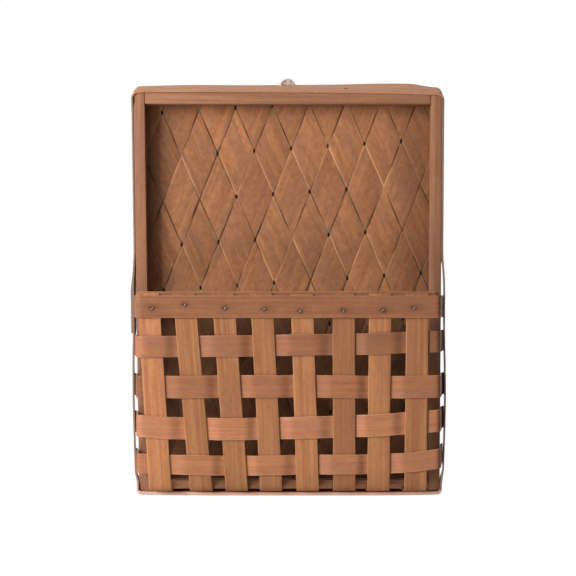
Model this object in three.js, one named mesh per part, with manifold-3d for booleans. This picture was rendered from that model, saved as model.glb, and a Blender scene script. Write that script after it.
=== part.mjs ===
// A splint wall basket: a hooped stick frame, a diagonal woven back and a shallow woven pocket.
// Millimetres. +X is the viewer's right, +Y points into the wall, +Z is up.
// The origin is on the wall plane at the nail that the twine loop hangs from.

import * as THREE from "three";
import { mergeVertices } from "three/addons/utils/BufferGeometryUtils.js";
import Module from "manifold-3d";

// Free space left between two pieces that touch on the real basket.
const CLEARANCE = 0.3;

// Stick frame, measured over the stiles at the top.
const FRAME_WIDTH = 266;
const FRAME_HEIGHT = 338.3;
const STILE_FACE = 9.6;
const RAIL_FACE = 7.4;
const FOOT_RAIL_FACE = 6.6;
const STICK_DEPTH = 16;
const LEFT_LEAN = 5.1;
const RIGHT_LEAN = 2.2;

// Bent hoop round the frame.
const HOOP_THICKNESS = 1.7;
const HOOP_DEPTH = 26;
const HOOP_CORNER = 4.5;
const FOOT_CORNER = 4.5;
const HOOP_FLARE = 6.9;
const HOOP_TWIST = 1.9;
const HOOP_BOW = 2.4;
const HOOP_TIP = 0.8;
const HOOP_SAG = 0.8;
const LAP_LENGTH = 32;
const LAP_BELOW_RIM = 14;
const LAP_RAMP = 14;

// Woven back mat.
const MAT_RECESS = 8;
const MAT_THICKNESS = 0.9;
const MAT_GAP = 1.5;
const MAT_CROWN = 0.3;
// Splints in each slanting set, which always fill the frame: one step along a set is a share of its width and height.
const MAT_SPLINTS = 13;
const MAT_RISING_STEP = [0.0586, 0.1174];
const MAT_FALLING_STEP = [0.0616, -0.1111];
const MAT_ORIGIN = [0.0117, 0.3676];

// Pocket splints.
const SPLINT_THICKNESS = 1.1;
const STAKE_WIDTH = 18.6;
const WEAVER_WIDTH = 18.2;
const POCKET_INSET = 4.6;
const LEFT_PINCH = 1.4;
const POCKET_REACH = 46;
const FOOT_LIFT = 2.4;
const LEFT_CORNER = 2;
const RIGHT_CORNER = 9;
const FOOT_BEND = 5;
const LEFT_SLACK = 1;
const RIGHT_SLACK = 1.9;
// Tucked ends turn in a little before the sticks and stop short of their backs.
const TUCK_LEAD = 1;
const TUCK_SHORT = 2;

// Rim bands of the pocket.
const RIM_WIDTH = 18.8;
const RIM_THICKNESS = 1.3;
const RIM_FROM_TOP = 172.6;
const RIM_STEP = 3.4;

// Small nails, driven through the rim and clinched, and driven through the hoop into the sticks.
const NAIL_DIAMETER = 1.2;
const NAIL_HEAD = 3.4;
const NAIL_LENGTH = 6;
const CLINCH_LENGTH = 3.8;
const CLINCH_THICKNESS = 0.6;
const SIDE_NAIL_FROM_TOP = 66;
const TOP_NAIL_ACROSS = 0.19;

// Hanging twine.
const TWINE_DIAMETER = 2.2;
const TWINE_SPREAD = 12;
const TWINE_RISE = 6.3;
const WALL_NAIL = 2;

// Positions found by eye on a hand-made piece, as shares of the pocket's half width, from left to right.
const STAKE_HEADS = [-0.89, -0.664, -0.411, -0.163, 0.098, 0.368, 0.606, 0.85];
const STAKE_FEET = [-0.842, -0.565, -0.331, -0.106, 0.133, 0.372, 0.595, 0.837];
// Weaver centres as shares of the drop below the rim.
const WEAVER_LEVELS = [0.167, 0.404, 0.644, 0.857];
// Each rim nail's shift along its stake's width and its depth in the rim, as shares.
const NAIL_SHIFTS = [0.2, 0.06, 0.09, 0.15, -0.05, 0.03, 0.18, -0.11];
const NAIL_DEPTHS = [0.53, 0.38, 0.53, 0.58, 0.66, 0.63, 0.62, 0.52];

// Heights are counted from the middle of the frame, and the whole basket is then shifted to its nail.
const top = FRAME_HEIGHT / 2;
const bottom = -FRAME_HEIGHT / 2;
const stickBack = -MAT_RECESS;
const stickFront = stickBack - STICK_DEPTH;
const hoopFront = -HOOP_DEPTH;
const matPeak = (MAT_THICKNESS + CLEARANCE) / 2 + MAT_CROWN + MAT_THICKNESS / 2;
const matMiddle = stickBack + CLEARANCE + matPeak;
const frontWall = stickFront - POCKET_REACH;
const pocketHalf = FRAME_WIDTH / 2 - POCKET_INSET;
const rimTop = top - RIM_FROM_TOP;
const rimFoot = rimTop - RIM_WIDTH;
const pocketFoot = bottom + FOOT_LIFT;
const pocketDrop = rimFoot - pocketFoot;
const weaveStep = SPLINT_THICKNESS + CLEARANCE;
const rimStep = SPLINT_THICKNESS / 2 + CLEARANCE + RIM_THICKNESS / 2;
const footGap = SPLINT_THICKNESS + 11 * CLEARANCE;

const wasm = await Module();
wasm.setup();

/** A closed geometry as a solid that can be cut and joined. */
function solidOf(geometry) {
  const bare = geometry.clone();
  bare.deleteAttribute("normal");
  bare.deleteAttribute("uv");
  const merged = mergeVertices(bare, 1e-4);
  const vertProperties = new Float32Array(merged.attributes.position.array);
  const triVerts = new Uint32Array(merged.index.array);
  return new wasm.Manifold(new wasm.Mesh({ numProp: 3, vertProperties, triVerts }));
}

/** A cut or joined solid back as a geometry. */
function geometryOf(solid) {
  const mesh = solid.getMesh();
  const geometry = new THREE.BufferGeometry();
  geometry.setAttribute("position", new THREE.BufferAttribute(mesh.vertProperties, 3));
  geometry.setIndex(new THREE.BufferAttribute(mesh.triVerts, 1));
  const flat = geometry.toNonIndexed();
  flat.computeVertexNormals();
  return flat;
}

/** A geometry less the tools that cut it. */
function cut(geometry, tools) {
  const left = tools.reduce((rest, tool) => rest.subtract(solidOf(tool)), solidOf(geometry));
  return geometryOf(left);
}

/** Moves every vertex of a geometry by a function of its place. */
function bend(geometry, move) {
  const position = geometry.attributes.position;
  const point = new THREE.Vector3();
  for (let i = 0; i < position.count; i += 1) {
    point.fromBufferAttribute(position, i);
    move(point);
    position.setXYZ(i, point.x, point.y, point.z);
  }
  geometry.computeVertexNormals();
  return geometry;
}

/** The outline of a thin strip that follows a centre line in the plane. */
function stripOutline(line, thickness) {
  const half = thickness / 2;
  const side = (index, sign) => {
    const here = line[index];
    const before = line[Math.max(index - 1, 0)];
    const after = line[Math.min(index + 1, line.length - 1)];
    const a = new THREE.Vector2(here[0] - before[0], here[1] - before[1]).normalize();
    const b = new THREE.Vector2(after[0] - here[0], after[1] - here[1]).normalize();
    const along = a.clone().add(b).normalize();
    const stretch = half / Math.max(along.dot(index ? a : b), 0.5);
    return new THREE.Vector2(here[0] - along.y * sign * stretch, here[1] + along.x * sign * stretch);
  };
  const left = line.map((_, index) => side(index, 1));
  const right = line.map((_, index) => side(index, -1));
  return new THREE.Shape([...right, ...left.reverse()]);
}

/** A shape pushed out to a depth along its own normal. */
function pushed(shape, depth) {
  return new THREE.ExtrudeGeometry(shape, { depth, steps: 1, bevelEnabled: false, curveSegments: 8 });
}

/** Points on a quarter turn, from one heading to the next, ends left out. */
function turn(centre, radius, from, to, steps) {
  return Array.from({ length: steps }, (_, step) => {
    const angle = from + ((to - from) * (step + 0.5)) / steps;
    return [centre[0] + radius * Math.cos(angle), centre[1] + radius * Math.sin(angle)];
  });
}

/** How far down the frame a height is, from nought at the top to one at the foot. */
const share = (z) => (top - z) / FRAME_HEIGHT;
/** Outer face of the left or right stile at a height. */
const stileOuter = (sideways, z) =>
  sideways * (FRAME_WIDTH / 2 - (sideways < 0 ? LEFT_LEAN : RIGHT_LEAN) * share(z));
/** Inner face of the left or right stile at a height. */
const stileInner = (sideways, z) => stileOuter(sideways, z) - sideways * STILE_FACE;
/** A smooth step from nought to one. */
const ease = (value) => THREE.MathUtils.smoothstep(value, 0, 1);

/** How much the hoop's top stands above the stiles: bowed up in the middle and tipped down to the right. */
function crown(x) {
  const across = (2 * x) / FRAME_WIDTH;
  return HOOP_TIP * (1 - across) + HOOP_BOW * (1 - across ** 4);
}

/** Space between stile and hoop: shut at the top, enough for the rim's and weavers' ends, slack beside the pocket. */
function tuckGap(sideways, z) {
  const slack = sideways < 0 ? LEFT_SLACK : RIGHT_SLACK;
  const rimGap = RIM_THICKNESS + 1.5 * CLEARANCE;
  const weaverGap = SPLINT_THICKNESS + 1.5 * CLEARANCE;
  const belly = (z - rimFoot + pocketDrop / 2) / (0.55 * pocketDrop);
  const bulge = (1 - Math.min(belly ** 2, 1)) ** 2;
  const opening = ease((rimTop + 2.2 * RIM_WIDTH - z) / (2 * RIM_WIDTH));
  const easing = ease((rimFoot - z) / (0.8 * RIM_WIDTH));
  const lowest = rimFoot - WEAVER_LEVELS[WEAVER_LEVELS.length - 1] * pocketDrop - WEAVER_WIDTH / 2;
  const closing = ease((lowest - CLEARANCE - z) / (2 * FOOT_CORNER));
  const tuck = (rimGap * opening - (rimGap - weaverGap) * easing) * (1 - closing);
  return CLEARANCE + tuck + slack * bulge;
}

const STAIN = 0xb07a52;
const root = new THREE.Group();
root.name = "wall_basket";
const basket = new THREE.Group();
root.add(basket);

/** Adds one named piece in its own stained wood tone. */
function addPiece(name, geometry, colour = STAIN, roughness = 0.7, metalness = 0) {
  const material = new THREE.MeshStandardMaterial({ color: colour, roughness, metalness });
  const mesh = new THREE.Mesh(geometry, material);
  mesh.name = name;
  basket.add(mesh);
  return mesh;
}

// Outlines drawn as seen from the front are pushed out from the back towards the viewer.
const frontBasis = new THREE.Matrix4().makeBasis(
  new THREE.Vector3(1, 0, 0),
  new THREE.Vector3(0, 0, 1),
  new THREE.Vector3(0, -1, 0),
);
const frontPiece = (shape, back, depth) =>
  pushed(shape, depth).applyMatrix4(frontBasis).translate(0, back, 0);

// Outlines drawn as seen from the side are pushed out across the basket.
const sideBasis = new THREE.Matrix4().makeBasis(
  new THREE.Vector3(0, 1, 0),
  new THREE.Vector3(0, 0, 1),
  new THREE.Vector3(1, 0, 0),
);

// Nails that pin the hoop to each stick: where the shank crosses the stick's outer face, and its heading.
const hoopNailDepth = stickBack - STICK_DEPTH / 2;
const sideNailHeight = top - SIDE_NAIL_FROM_TOP;
const topNailAcross = TOP_NAIL_ACROSS * FRAME_WIDTH;
const hoopNails = {
  left: { x: stileOuter(-1, sideNailHeight), z: sideNailHeight, spin: Math.PI / 2 },
  right: { x: stileOuter(1, sideNailHeight), z: sideNailHeight, spin: -Math.PI / 2 },
  top: { x: topNailAcross, z: top + crown(topNailAcross), spin: 0 },
  foot: { x: pocketHalf * STAKE_FEET[4], z: bottom, spin: Math.PI },
};
const placeNail = (geometry, { x, z, spin }) =>
  geometry.rotateX(Math.PI / 2).rotateY(-spin).translate(x, hoopNailDepth, z);
const hoopNailHoles = Object.fromEntries(
  Object.entries(hoopNails).map(([side, place]) => {
    const bore = NAIL_DIAMETER / 2 + CLEARANCE;
    const reach = NAIL_LENGTH + 2 * CLEARANCE;
    const outward = 3 * CLEARANCE;
    const hole = new THREE.CylinderGeometry(bore, bore, 2 * reach + outward, 6).translate(0, outward / 2, 0);
    return [side, placeNail(hole, place)];
  }),
);

/** An upright stick with its outer corners eased to sit in the hoop's bends. */
function stile(sideways) {
  const eased = 0.7 * HOOP_CORNER;
  const easedFoot = 0.7 * FOOT_CORNER;
  const points = [
    [stileInner(sideways, bottom), bottom],
    [stileOuter(sideways, bottom) - sideways * easedFoot, bottom],
    [stileOuter(sideways, bottom + easedFoot), bottom + easedFoot],
    [stileOuter(sideways, top - eased), top - eased],
    [stileOuter(sideways, top) - sideways * eased, top],
    [stileInner(sideways, top), top],
  ];
  const shape = new THREE.Shape(points.map(([x, z]) => new THREE.Vector2(x, z)));
  const hole = sideways < 0 ? hoopNailHoles.left : hoopNailHoles.right;
  return cut(frontPiece(shape, stickBack, STICK_DEPTH), [hole]);
}

/** A level stick cut to fit between the two stiles, its upper edge raised by a height across it. */
function rail(upper, lower, rise, hole) {
  const railEnd = (sideways, z) => stileInner(sideways, z) - sideways * CLEARANCE;
  const steps = 12;
  const ridge = Array.from({ length: steps + 1 }, (_, step) => {
    const x = THREE.MathUtils.lerp(railEnd(1, upper), railEnd(-1, upper), step / steps);
    return [x, upper + rise(x)];
  });
  const points = [[railEnd(-1, lower), lower], [railEnd(1, lower), lower], ...ridge];
  const shape = new THREE.Shape(points.map(([x, z]) => new THREE.Vector2(x, z)));
  return cut(frontPiece(shape, stickBack, STICK_DEPTH), [hole]);
}

addPiece("left_stile", stile(-1), 0xac7750);
addPiece("right_stile", stile(1), 0xa9744e);
addPiece("top_rail", rail(top, top - RAIL_FACE, crown, hoopNailHoles.top), 0xae784f);
const level = () => 0;
addPiece("bottom_rail", rail(bottom + FOOT_RAIL_FACE, bottom, level, hoopNailHoles.foot), 0x9c6a45);

// The hoop's centre line starts under the lap on the left, runs down, round the foot, up the right side,
// over the top and down the left again, and ends outside its own beginning.
const hoopHalf = HOOP_THICKNESS / 2;
const hoopTop = top + CLEARANCE + hoopHalf;
const hoopFoot = bottom - footGap - hoopHalf;
const lapEnd = rimFoot - LAP_BELOW_RIM;
const lapStart = lapEnd + LAP_LENGTH;
const topCorner = HOOP_CORNER + hoopHalf;
const footCorner = FOOT_CORNER + hoopHalf;

function hoopSide(sideways, z) {
  return stileOuter(sideways, z) + sideways * (tuckGap(sideways, z) + hoopHalf);
}

function hoopRun(sideways, from, to, steps) {
  return Array.from({ length: steps + 1 }, (_, step) => {
    const z = from + ((to - from) * step) / steps;
    return [hoopSide(sideways, z), z];
  });
}

function hoopLine() {
  const low = hoopFoot + footCorner;
  const leftLow = hoopSide(-1, low) + footCorner;
  const rightLow = hoopSide(1, low) - footCorner;
  const rightHigh = hoopSide(1, top) - topCorner;
  const leftHigh = hoopSide(-1, top) + topCorner;
  const highRight = hoopTop + crown(rightHigh) - topCorner;
  const highLeft = hoopTop + crown(leftHigh) - topCorner;
  const quarter = Math.PI / 2;
  const bow = Array.from({ length: 11 }, (_, step) => {
    const x = THREE.MathUtils.lerp(rightHigh, leftHigh, step / 10);
    return [x, hoopTop + crown(x)];
  });
  const sag = Array.from({ length: 9 }, (_, step) => {
    const along = step / 8;
    return [THREE.MathUtils.lerp(leftLow, rightLow, along), hoopFoot - HOOP_SAG * (1 - (2 * along - 1) ** 4)];
  });
  const over = HOOP_THICKNESS + CLEARANCE;
  const lap = Array.from({ length: 9 }, (_, step) => {
    const z = THREE.MathUtils.lerp(lapStart + 2 * LAP_RAMP, lapEnd, step / 8);
    const out = over * ease((lapStart + 1.6 * LAP_RAMP - z) / (1.5 * LAP_RAMP));
    return [hoopSide(-1, z) - out, z];
  });
  return [
    ...hoopRun(-1, lapStart, low, 14),
    ...turn([leftLow, low], footCorner, 2 * quarter, 3 * quarter, 3),
    ...sag,
    ...turn([rightLow, low], footCorner, 3 * quarter, 4 * quarter, 3),
    ...hoopRun(1, low, highRight, 16),
    ...turn([rightHigh, highRight], topCorner, 0, quarter, 3),
    ...bow,
    ...turn([leftHigh, highLeft], topCorner, quarter, 2 * quarter, 3),
    ...hoopRun(-1, highLeft, lapStart + 2.6 * LAP_RAMP, 4),
    ...lap,
  ];
}

// The top of the hoop flares up towards the wall, a little more on the right.
const flareRun = 3 * HOOP_CORNER;
const flareFrom = top - flareRun;
const flareAt = (x, y) => (HOOP_FLARE + (2 * HOOP_TWIST * x) / FRAME_WIDTH) * (1 + y / HOOP_DEPTH);
const hoopBody = bend(frontPiece(stripOutline(hoopLine(), HOOP_THICKNESS), 0, HOOP_DEPTH), (point) => {
  point.z += flareAt(point.x, point.y) * ease((point.z - flareFrom) / flareRun);
});

// Two holes near the wall edge of the hoop's top take the twine.
const twineBack = -TWINE_DIAMETER / 2 - 8 * CLEARANCE;
const twineHole = TWINE_DIAMETER / 2 + 3 * CLEARANCE;
const twineHalf = TWINE_SPREAD / 2;
const holeAt = twineHalf - 2 * CLEARANCE;
const twineHoles = [-1, 1].map((sideways) => {
  const hole = new THREE.CylinderGeometry(twineHole, twineHole, 6 * HOOP_THICKNESS, 12);
  hole.rotateX(Math.PI / 2);
  return hole.translate(sideways * holeAt, twineBack, hoopTop + crown(0) + flareAt(0, twineBack));
});
addPiece("hoop", cut(hoopBody, [...twineHoles, ...Object.values(hoopNailHoles)]), 0xb98a63);

/** A small nail driven from outside, its head clear of the hoop. */
function hoopNail(side, out) {
  const seat = out + CLEARANCE;
  const radius = NAIL_DIAMETER / 2;
  const profile = [
    [0, -NAIL_LENGTH],
    [radius, radius - NAIL_LENGTH],
    [radius, seat],
    [NAIL_HEAD / 2, seat],
    [NAIL_HEAD / 2, seat + CLINCH_THICKNESS],
    [0, seat + CLINCH_THICKNESS],
  ];
  const points = profile.map(([across, along]) => new THREE.Vector2(across, along));
  return placeNail(new THREE.LatheGeometry(points, 8), hoopNails[side]);
}
const overStick = CLEARANCE + HOOP_THICKNESS;
const overTop = overStick + flareAt(topNailAcross, hoopNailDepth + NAIL_HEAD / 2);
const overFoot = footGap + HOOP_SAG + HOOP_THICKNESS;
addPiece("hoop_nail_left", hoopNail("left", overStick), 0x8d8780, 0.45, 0.9);
addPiece("hoop_nail_right", hoopNail("right", overStick), 0x8d8780, 0.45, 0.9);
addPiece("hoop_nail_top", hoopNail("top", overTop), 0x8d8780, 0.45, 0.9);
addPiece("hoop_nail_foot", hoopNail("foot", overFoot), 0x8d8780, 0.45, 0.9);

// The mat: two sets of splints on a slanting lattice.
const onFrame = ([across, up]) => new THREE.Vector2(across * FRAME_WIDTH, up * FRAME_HEIGHT);
const rightStep = onFrame(MAT_RISING_STEP);
const leftStep = onFrame(MAT_FALLING_STEP);
const latticeOrigin = onFrame(MAT_ORIGIN);
const cellArea = Math.abs(rightStep.cross(leftStep));

// The mat is trimmed just inside the stiles' outer faces and above the foot of the hoop, its corners eased.
function matTrim() {
  const eased = 0.8 * HOOP_CORNER;
  const easedFoot = 0.8 * FOOT_CORNER;
  const edge = 2 * CLEARANCE;
  const foot = bottom - footGap + edge;
  const points = [
    [stileOuter(-1, bottom) + easedFoot, foot],
    [stileOuter(1, bottom) - easedFoot, foot],
    [stileOuter(1, foot + easedFoot) - edge, foot + easedFoot],
    [stileOuter(1, top - eased) - edge, top - eased],
    [stileOuter(1, top) - eased, top],
    [stileOuter(-1, top) + eased, top],
    [stileOuter(-1, top - eased) + edge, top - eased],
    [stileOuter(-1, foot + easedFoot) + edge, foot + easedFoot],
  ];
  const shape = new THREE.Shape(points.map(([x, z]) => new THREE.Vector2(x, z)));
  return solidOf(frontPiece(shape, matMiddle + 4 * matPeak, 8 * matPeak));
}
const matOutline = matTrim();
const inMat = (point) =>
  Math.abs(point.x) < FRAME_WIDTH / 2 + rightStep.x && Math.abs(point.y) < FRAME_HEIGHT / 2 + rightStep.y;

/** One splint of the mat: a wave along its own set, as wide as its gap in the other set leaves it. */
function matSplint(along, across, index, crossing) {
  const slotAcross = (MAT_GAP * across.length()) / cellArea;
  const gapAlong = (MAT_GAP * along.length()) / cellArea;
  const cells = [];
  for (let cell = -2 * MAT_SPLINTS; cell < 2 * MAT_SPLINTS; cell += 1) {
    const middle = latticeOrigin.clone().addScaledVector(along, cell + 0.5).addScaledVector(across, index + 0.5);
    if (inMat(middle)) {
      cells.push(cell);
    }
  }
  const rest = (MAT_THICKNESS + CLEARANCE) / 2;
  const wave = cells.flatMap((cell) => {
    const face = crossing(cell, index);
    return [
      [cell + gapAlong / 2, face * rest],
      [cell + 0.5, face * (rest + MAT_CROWN)],
      [cell + 1 - gapAlong / 2, face * rest],
    ];
  });
  const half = MAT_THICKNESS / 2;
  const under = wave.map(([at, height]) => new THREE.Vector2(at * along.length(), height - half));
  const over = wave.map(([at, height]) => new THREE.Vector2(at * along.length(), height + half)).reverse();
  const body = pushed(new THREE.Shape([...under, ...over]), across.length() * (1 - slotAcross));
  const alongUnit = along.clone().normalize();
  const acrossUnit = across.clone().normalize();
  const facing = Math.sign(along.cross(across));
  const lead = facing < 0 ? index + slotAcross / 2 : index + 1 - slotAcross / 2;
  const start = latticeOrigin.clone().addScaledVector(across, lead);
  const basis = new THREE.Matrix4().makeBasis(
    new THREE.Vector3(alongUnit.x, 0, alongUnit.y),
    new THREE.Vector3(0, -1, 0),
    new THREE.Vector3(-facing * acrossUnit.x, 0, -facing * acrossUnit.y),
  );
  body.applyMatrix4(basis).translate(start.x, matMiddle, start.y);
  return geometryOf(solidOf(body).intersect(matOutline));
}

/** Which way a crossing faces for the splints rising right: out where the two counts differ by an odd number. */
const odd = (a, b) => Math.abs(a - b) % 2 === 1;
const matTones = [0xb27c55, 0xa9744d, 0xb88058, 0xad7850];
// The first splint of each set, counted from the lattice origin.
const firstRight = -5;
const firstLeft = -8;
for (let count = 0; count < MAT_SPLINTS; count += 1) {
  const label = String(count + 1).padStart(2, "0");
  const facingRight = (cell, index) => (odd(cell, index) ? 1 : -1);
  const facingLeft = (cell, index) => (odd(index, cell) ? -1 : 1);
  const right = matSplint(rightStep, leftStep, firstRight + count, facingRight);
  const left = matSplint(leftStep, rightStep, firstLeft + count, facingLeft);
  addPiece(`mat_right_${label}`, right, matTones[count % 4]);
  addPiece(`mat_left_${label}`, left, matTones[(count + 2) % 4]);
}

// The pocket's stakes lean as they go down.
const stakeHead = rimTop + 0.5 * RIM_STEP;
const stakeTurnTop = pocketFoot + FOOT_BEND + SPLINT_THICKNESS / 2;
function stakeMiddle(index, z) {
  const down = THREE.MathUtils.clamp((rimFoot - z) / pocketDrop, -0.2, 1);
  return pocketHalf * THREE.MathUtils.lerp(STAKE_HEADS[index], STAKE_FEET[index], down);
}

// Rim nails: the shank's place on each stake.
const nailPlaces = STAKE_HEADS.map((_, index) => {
  const z = rimTop - NAIL_DEPTHS[index] * RIM_WIDTH;
  return { x: stakeMiddle(index, z) + NAIL_SHIFTS[index] * STAKE_WIDTH, z };
});
const nailHole = NAIL_DIAMETER / 2 + CLEARANCE;
const nailReach = rimStep + RIM_THICKNESS / 2 + CLEARANCE;
const nailHoles = nailPlaces.map(({ x, z }) => {
  const hole = new THREE.CylinderGeometry(nailHole, nailHole, 6 * nailReach, 6);
  return hole.translate(x, frontWall, z);
});

function stake(index) {
  const runHeight = bottom - CLEARANCE - SPLINT_THICKNESS / 2;
  const centre = [frontWall + FOOT_BEND, stakeTurnTop];
  const line = [
    [frontWall, stakeHead],
    [frontWall, stakeTurnTop],
    ...turn(centre, FOOT_BEND, Math.PI, 1.5 * Math.PI, 4),
    [centre[0] + 0.1 * FOOT_BEND, stakeTurnTop - FOOT_BEND],
    [stickFront - 4 * TUCK_LEAD, runHeight],
    [stickBack - 0.5 * TUCK_SHORT, runHeight],
  ];
  const body = pushed(stripOutline(line, SPLINT_THICKNESS), STAKE_WIDTH);
  body.applyMatrix4(sideBasis).translate(-STAKE_WIDTH / 2, 0, 0);
  bend(body, (point) => {
    point.x += stakeMiddle(index, point.z);
  });
  return cut(body, [nailHoles[index], hoopNailHoles.foot]);
}
const stakeTones = [0xc08a5c, 0xb57e55, 0xb8825a, 0xbc865a];
STAKE_HEADS.forEach((_, index) => addPiece(`stake_${index + 1}`, stake(index), stakeTones[index % 4]));

/** Plan of a band round the pocket: tucked end, side, corner, front, corner, side, tucked end. */
function bandLine(front, sides, tucks, tuckFront, ends) {
  const corners = [LEFT_CORNER, RIGHT_CORNER];
  const [leftEdge, rightEdge] = sides;
  const firstFront = front[0][1];
  const lastFront = front[front.length - 1][1];
  const leftCentre = [leftEdge + corners[0], firstFront + corners[0]];
  const rightCentre = [rightEdge - corners[1], lastFront + corners[1]];
  return [
    [tucks[0], ends],
    [tucks[0], tuckFront],
    [leftEdge, leftCentre[1]],
    ...turn(leftCentre, corners[0], Math.PI, 1.5 * Math.PI, 3),
    ...front,
    ...turn(rightCentre, corners[1], 1.5 * Math.PI, 2 * Math.PI, 4),
    [rightEdge, rightCentre[1]],
    [tucks[1], tuckFront],
    [tucks[1], ends],
  ];
}

const tuckEnd = stickBack - TUCK_SHORT;
function weaver(level) {
  const z = rimFoot - WEAVER_LEVELS[level] * pocketDrop;
  const high = z + WEAVER_WIDTH / 2;
  const flat = STAKE_WIDTH / 2 + 3 * CLEARANCE;
  const front = STAKE_HEADS.flatMap((_, index) => {
    const over = (index + level) % 2 === 0;
    const y = frontWall + (over ? -weaveStep : weaveStep);
    const middle = stakeMiddle(index, z);
    const first = index === 0 ? LEFT_PINCH - pocketHalf + SPLINT_THICKNESS / 2 + LEFT_CORNER : middle - flat;
    const last = index === STAKE_HEADS.length - 1 ? pocketHalf - SPLINT_THICKNESS / 2 - RIGHT_CORNER : middle + flat;
    return [
      [first, y],
      [last, y],
    ];
  });
  const offset = CLEARANCE + SPLINT_THICKNESS / 2;
  const tucks = [-1, 1].map((sideways) => stileOuter(sideways, high) + sideways * offset);
  const edge = pocketHalf - SPLINT_THICKNESS / 2;
  const line = bandLine(front, [LEFT_PINCH - edge, edge], tucks, hoopFront - TUCK_LEAD, tuckEnd);
  return pushed(stripOutline(line, SPLINT_THICKNESS), WEAVER_WIDTH).translate(0, 0, z - WEAVER_WIDTH / 2);
}
const weaverTones = [0xb9825f, 0xa97353, 0xb47d58, 0xa6714d];
WEAVER_LEVELS.forEach((_, level) => addPiece(`weaver_${level + 1}`, weaver(level), weaverTones[level]));

function rimFront(y, edge) {
  return [
    [LEFT_PINCH - edge + LEFT_CORNER, y],
    [edge - RIGHT_CORNER, y],
  ];
}

function outerRim() {
  const edge = pocketHalf - RIM_THICKNESS / 2;
  const offset = CLEARANCE + RIM_THICKNESS / 2;
  const tucks = [-1, 1].map((sideways) => stileOuter(sideways, rimTop) + sideways * offset);
  const front = rimFront(frontWall - rimStep, edge);
  const line = bandLine(front, [LEFT_PINCH - edge, edge], tucks, hoopFront - TUCK_LEAD, tuckEnd);
  const body = pushed(stripOutline(line, RIM_THICKNESS), RIM_WIDTH).translate(0, 0, rimFoot);
  return cut(body, nailHoles);
}

function innerRim() {
  const edge = pocketHalf - 1.5 * RIM_THICKNESS - CLEARANCE;
  const offset = CLEARANCE + RIM_THICKNESS / 2;
  const low = rimFoot + RIM_STEP;
  const tucks = [-1, 1].map((sideways) => stileInner(sideways, low) - sideways * offset);
  const front = rimFront(frontWall + rimStep, edge);
  const line = bandLine(front, [LEFT_PINCH - edge, edge], tucks, stickFront - 3 * TUCK_LEAD, tuckEnd);
  const body = pushed(stripOutline(line, RIM_THICKNESS), RIM_WIDTH).translate(0, 0, low);
  return cut(body, nailHoles);
}
addPiece("rim_outer", outerRim(), 0xb07a54);
addPiece("rim_inner", innerRim(), 0xb4805a);

/** A nail: flat head inside the pocket, shank through the rim, point bent over and flattened outside. */
function rimNail(place, index) {
  const outside = nailReach + CLINCH_THICKNESS;
  const profile = [
    [0, -outside],
    [NAIL_DIAMETER / 2, -outside],
    [NAIL_DIAMETER / 2, nailReach],
    [NAIL_HEAD / 2, nailReach],
    [NAIL_HEAD / 2, nailReach + CLINCH_THICKNESS],
    [0, nailReach + CLINCH_THICKNESS],
  ];
  const shank = new THREE.LatheGeometry(
    profile.map(([radius, height]) => new THREE.Vector2(radius, height)),
    8,
  );
  const half = NAIL_DIAMETER / 2;
  const stub = new THREE.Shape();
  stub.moveTo(-half, -half);
  stub.lineTo(CLINCH_LENGTH - half, -half * 0.6);
  stub.lineTo(CLINCH_LENGTH - half, half * 0.6);
  stub.lineTo(-half, half);
  const clinch = pushed(stub, CLINCH_THICKNESS * 0.8);
  clinch.rotateZ(Math.PI * (1.22 + 0.05 * (index % 3)));
  clinch.applyMatrix4(frontBasis).translate(0, -outside + CLINCH_THICKNESS, 0);
  const whole = solidOf(shank).add(solidOf(clinch));
  return geometryOf(whole).translate(place.x, frontWall, place.z);
}
nailPlaces.forEach((place, index) => addPiece(`rim_nail_${index + 1}`, rimNail(place, index), 0x8d8780, 0.45, 0.9));

// The twine: up through one hole, over the wall nail, down through the other, a knot at each end.
const twineFoot = hoopTop + crown(0) + flareAt(0, twineBack) - hoopHalf - CLEARANCE;
const knotRadius = twineHole + CLEARANCE;
const knotHeight = twineFoot - knotRadius - 2 * CLEARANCE;
const loopPeak = twineFoot + TWINE_RISE;
const archRise = twineHalf;
const legShare = 0.07;

/** Straight up from one knot, round an arch and straight down to the other knot. */
class LoopCurve extends THREE.Curve {
  getPoint(at, target = new THREE.Vector3()) {
    const springing = loopPeak - archRise;
    const leg = Math.min(Math.min(at, 1 - at) / legShare, 1);
    const swing = THREE.MathUtils.clamp((at - legShare) / (1 - 2 * legShare), 0, 1);
    const angle = Math.PI * (1 - swing);
    const lift = leg < 1 ? (springing - knotHeight) * (leg - 1) : archRise * Math.sin(angle);
    return target.set(twineHalf * Math.cos(angle), twineBack, springing + lift);
  }
}
function hangingLoop() {
  const round = new THREE.Shape();
  round.absarc(0, 0, TWINE_DIAMETER / 2, 0, 2 * Math.PI, false);
  const path = new LoopCurve();
  const tube = new THREE.ExtrudeGeometry(round, {
    steps: 18,
    extrudePath: path,
    bevelEnabled: false,
    curveSegments: 4,
  });
  const knots = [-1, 1].map((sideways) => {
    const knot = new THREE.SphereGeometry(knotRadius, 8, 6);
    return solidOf(knot.translate(sideways * twineHalf, twineBack, knotHeight));
  });
  return geometryOf(knots.reduce((whole, knot) => whole.add(knot), solidOf(tube)));
}
addPiece("hanging_loop", hangingLoop(), 0xc9a878, 0.95);

// The wall nail sits under the top of the loop.
const nailHeight = loopPeak - TWINE_DIAMETER / 2 - WALL_NAIL / 2;
basket.position.set(0, 0, -nailHeight);

export default root;
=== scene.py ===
"""A stained ash splint wall basket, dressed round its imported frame.

Lengths are millimetres until a mesh is made.
"""

import logging
import math
from dataclasses import dataclass, field
from enum import Enum
from functools import partial
from typing import Any, Mapping, Sequence

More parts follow.
